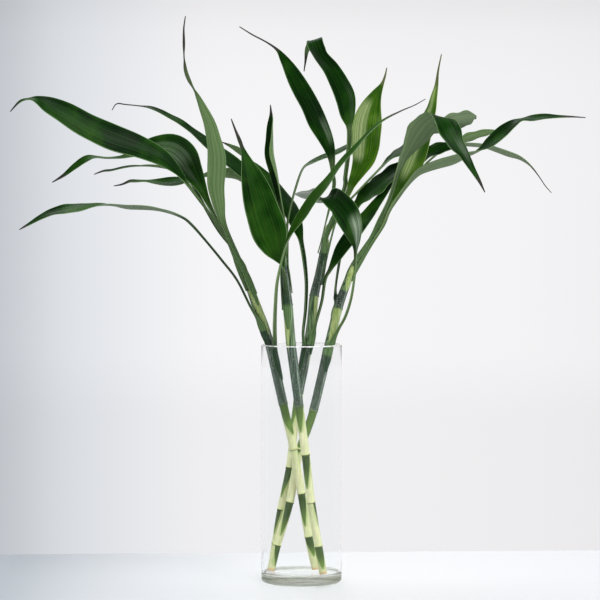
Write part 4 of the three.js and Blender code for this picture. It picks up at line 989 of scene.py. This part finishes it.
def glassMaterial(name, tint, bending, haze_and_highlight=(0, 0), haze_and_highlight_tone=(1, 1, 1), grain=(22, 22, 620)):
    material, shader = newMaterial(name)
    fill(material, shader, {"Base Color": (*tint, 1), "Roughness": 0, "IOR": bending,
                            "Transmission Weight": 1})
    shadowRay = addNode(material, "LightPath")["Is Shadow Ray"]
    clear = addNode(material, "BsdfTransparent", {"Color": (*vase["shadow"], 1)})[0]
    # a flat veil mixed over the glass: cloudy glass on the base, a painted highlight on the rim
    veil = addNode(material, "BsdfDiffuse", {"Color": (*haze_and_highlight_tone, 1)})[0]
    bands = noiseFrom(material, addNode(material, "TexCoord")["Object"], 1, 3, grain)
    haze_and_highlight_share = stretch(material, bands, 0.38, 0.62, *haze_and_highlight)
    body = addNode(material, "MixShader", {0: haze_and_highlight_share, 1: shader.outputs[0], 2: veil})[0]
    blend = addNode(material, "MixShader", {0: shadowRay, 1: body, 2: clear})[0]
    fill(material, material.node_tree.nodes["Material Output"], {"Surface": blend})
    return material


for name, settings in glassParts.items():
    vasePiece.data.materials.append(glassMaterial(name, **settings))
wallSlot, baseSlot, rimSlot, floorSlot = range(len(glassParts))
for face in vasePiece.data.polygons:
    face.material_index = wallSlot
    outside = hypot(face.center.x, face.center.y) > (vase["radius"] - vase["wall"] - 0.5) * mm
    if face.center.z < (vase["base"] + vase["hazeAbove"]) * mm:
        face.material_index = baseSlot if outside else floorSlot
    if face.center.z > (vase["height"] - vase["rimDepth"]) * mm:
        face.material_index = rimSlot
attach(vasePiece, "root")
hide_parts("vase")
print("vase made")


table = {
    "front": -5200,
    "left": -3200,
    "right": 3200,
    "backAtCentre": 306,
    "backSlope": 0.06,
    "thick": 30,
    "gap": 0.05,  # mm, how far its top lies under the vase
    "softEdge": 4,
    "tone": (0.70, 0.71, 0.73),
    "blueness": 0.12,  # more blue where the painted shade is darker
    # painted shade across the top, darkest at the left edge and a little darker at the right
    "paintedShades": [(0.0, 0.5), (0.1, 0.68), (0.22, 0.84), (0.36, 0.95), (0.5, 1.0), (0.8, 0.99),
               (1.0, 0.95)],
    "paintedShadeWidth": 0.38,  # m to each side of the middle
    "roughness": 0.6,
}

bpy.ops.mesh.primitive_cube_add(size=1)
floor = bpy.context.object
floor.name = "tableTop"
for vertex in floor.data.vertices:
    x = table["left"] if vertex.co.x < 0 else table["right"]
    y = table["front"] if vertex.co.y < 0 else table["backAtCentre"] + table["backSlope"] * x
    z = -table["thick"] if vertex.co.z < 0 else -table["gap"]
    vertex.co = Vector((x, y, z)) * mm
edges = floor.modifiers.new("softEdge", "BEVEL")
edges.width = table["softEdge"] * mm
edges.segments = 4
applyAll(floor)
bpy.ops.object.shade_smooth_by_angle(angle=radians(30))
tableTop, tableShader = newMaterial("tableTop")
# the top's colour: the painted shade as a ramp from left to right
tableStops = []
for place, shade in table["paintedShades"]:
    blueness = table["blueness"] * (1 - shade)
    red, green, blue = table["tone"]
    tableStops.append((place, (shade * (red - blueness), shade * green, shade * (blue + blueness))))
tableAxes = addNode(tableTop, "SeparateXYZ", {0: addNode(tableTop, "TexCoord")["Object"]})
tableSpan = stretch(tableTop, tableAxes["X"], -table["paintedShadeWidth"], table["paintedShadeWidth"], 0, 1)
fill(tableTop, tableShader, {"Base Color": rampOf(tableTop, tableSpan, tableStops),
                             "Roughness": table["roughness"]})
floor.data.materials.append(tableTop)

studio = {
    "backdrop": (0.93, 0.925, 0.94),
    # a blue tint laid over the painted shade at the backdrop's left
    "backdropLeft": (0.86, 0.905, 0.965),
    "sky": 0.9,  # light from above
    "ground": 0.3,  # and from below
    "shine": 0.95,  # what glossy skins mirror low behind
    "shineLow": 0.3,  # and everywhere else
    # across and upward: painted shade on the backdrop as seen straight on and through the glass, darker
    # towards the left and towards the top and bottom
    "across": [(0.0, 0.62), (0.09, 0.82), (0.2, 0.90), (0.3, 0.98), (0.42, 1.0), (0.7, 0.98),
               (0.88, 0.97), (1.0, 0.94)],
    "upward": [(0.0, 0.94), (0.06, 0.96), (0.15, 1.0), (0.35, 1.02), (0.8, 0.985), (0.93, 0.96),
               (1.0, 0.88)],
    "side": 0.0965,  # sine of the angle at which its shades end
    "leftFrom": 0.03,  # and of the one where its left tint starts
    "low": -0.08,
    "high": 0.054,
    "through": (-0.02, 0.02, 0.4, 0.6),  # the part of the shades across that is seen through glass
    "skySpan": (-0.3, 0.7),
    "behindSpan": (-0.25, 0.1),
    "levelSpan": (0.15, 0.4),
    "aim": (0, 0, 0.4),  # m, where the lights point
}

world = bpy.data.worlds.new("studio")
bpy.context.scene.world = world
world.use_nodes = True
axes = addNode(world, "SeparateXYZ", {0: addNode(world, "TexCoord")["Generated"]})
path = addNode(world, "LightPath")


def greys(stops):
    return [(place, (shade, shade, shade)) for place, shade in stops]


sideways = stretch(world, axes["X"], -studio["side"], studio["side"], 0, 1)
sideways = mixColours(world, path["Is Transmission Ray"], sideways,
                      stretch(world, axes["X"], *studio["through"]))
upward = stretch(world, axes["Z"], studio["low"], studio["high"], 0, 1)
seen = mixColours(world, 1, rampOf(world, sideways, greys(studio["across"])),
                  rampOf(world, upward, greys(studio["upward"])), "MULTIPLY")
leftward = stretch(world, axes["X"], -studio["leftFrom"], -studio["side"], 0, 1)
leftward = calculate(world, "MULTIPLY", leftward, path["Is Camera Ray"])
backdropTone = mixColours(world, leftward, (*studio["backdrop"], 1), (*studio["backdropLeft"], 1))
seen = mixColours(world, 1, seen, backdropTone, "MULTIPLY")
rise = stretch(world, axes["Z"], *studio["skySpan"], studio["ground"], studio["sky"])
behind = stretch(world, axes["Y"], *studio["behindSpan"], 0, 1)
level = stretch(world, calculate(world, "ABSOLUTE", axes["Z"]), *studio["levelSpan"], 1, 0)
mirrored = stretch(world, calculate(world, "MULTIPLY", behind, level), 0, 1, studio["shineLow"],
                   studio["shine"])
rise = mixColours(world, path["Is Glossy Ray"], rise, mirrored)
straight = calculate(world, "ADD", path["Is Camera Ray"], path["Is Transmission Ray"], clamp=True)
fill(world, world.node_tree.nodes["Background"],
     {"Color": mixColours(world, straight, rise, seen), "Strength": 1})

lights = {  # m and W
    "softKey": {"place": (1.3, -1.5, 2.6), "size": 1.2, "power": 46},
    "softFill": {"place": (-2.2, -2.6, 1.5), "size": 1.6, "power": 14},
    "softTop": {"place": (-0.4, 0.9, 2.6), "size": 1.2, "power": 30},
}
for name, light in lights.items():
    lightData = bpy.data.lights.new(name, "AREA")
    lightData.size = light["size"]
    lightData.energy = light["power"]
    lamp = bpy.data.objects.new(name, lightData)
    bpy.context.scene.collection.objects.link(lamp)
    lamp.location = light["place"]
    aim = Vector(studio["aim"]) - lamp.location
    lamp.rotation_euler = aim.to_track_quat("-Z", "Y").to_euler()
bpy.context.scene.view_settings.view_transform = "Standard"
print("stage and light set")
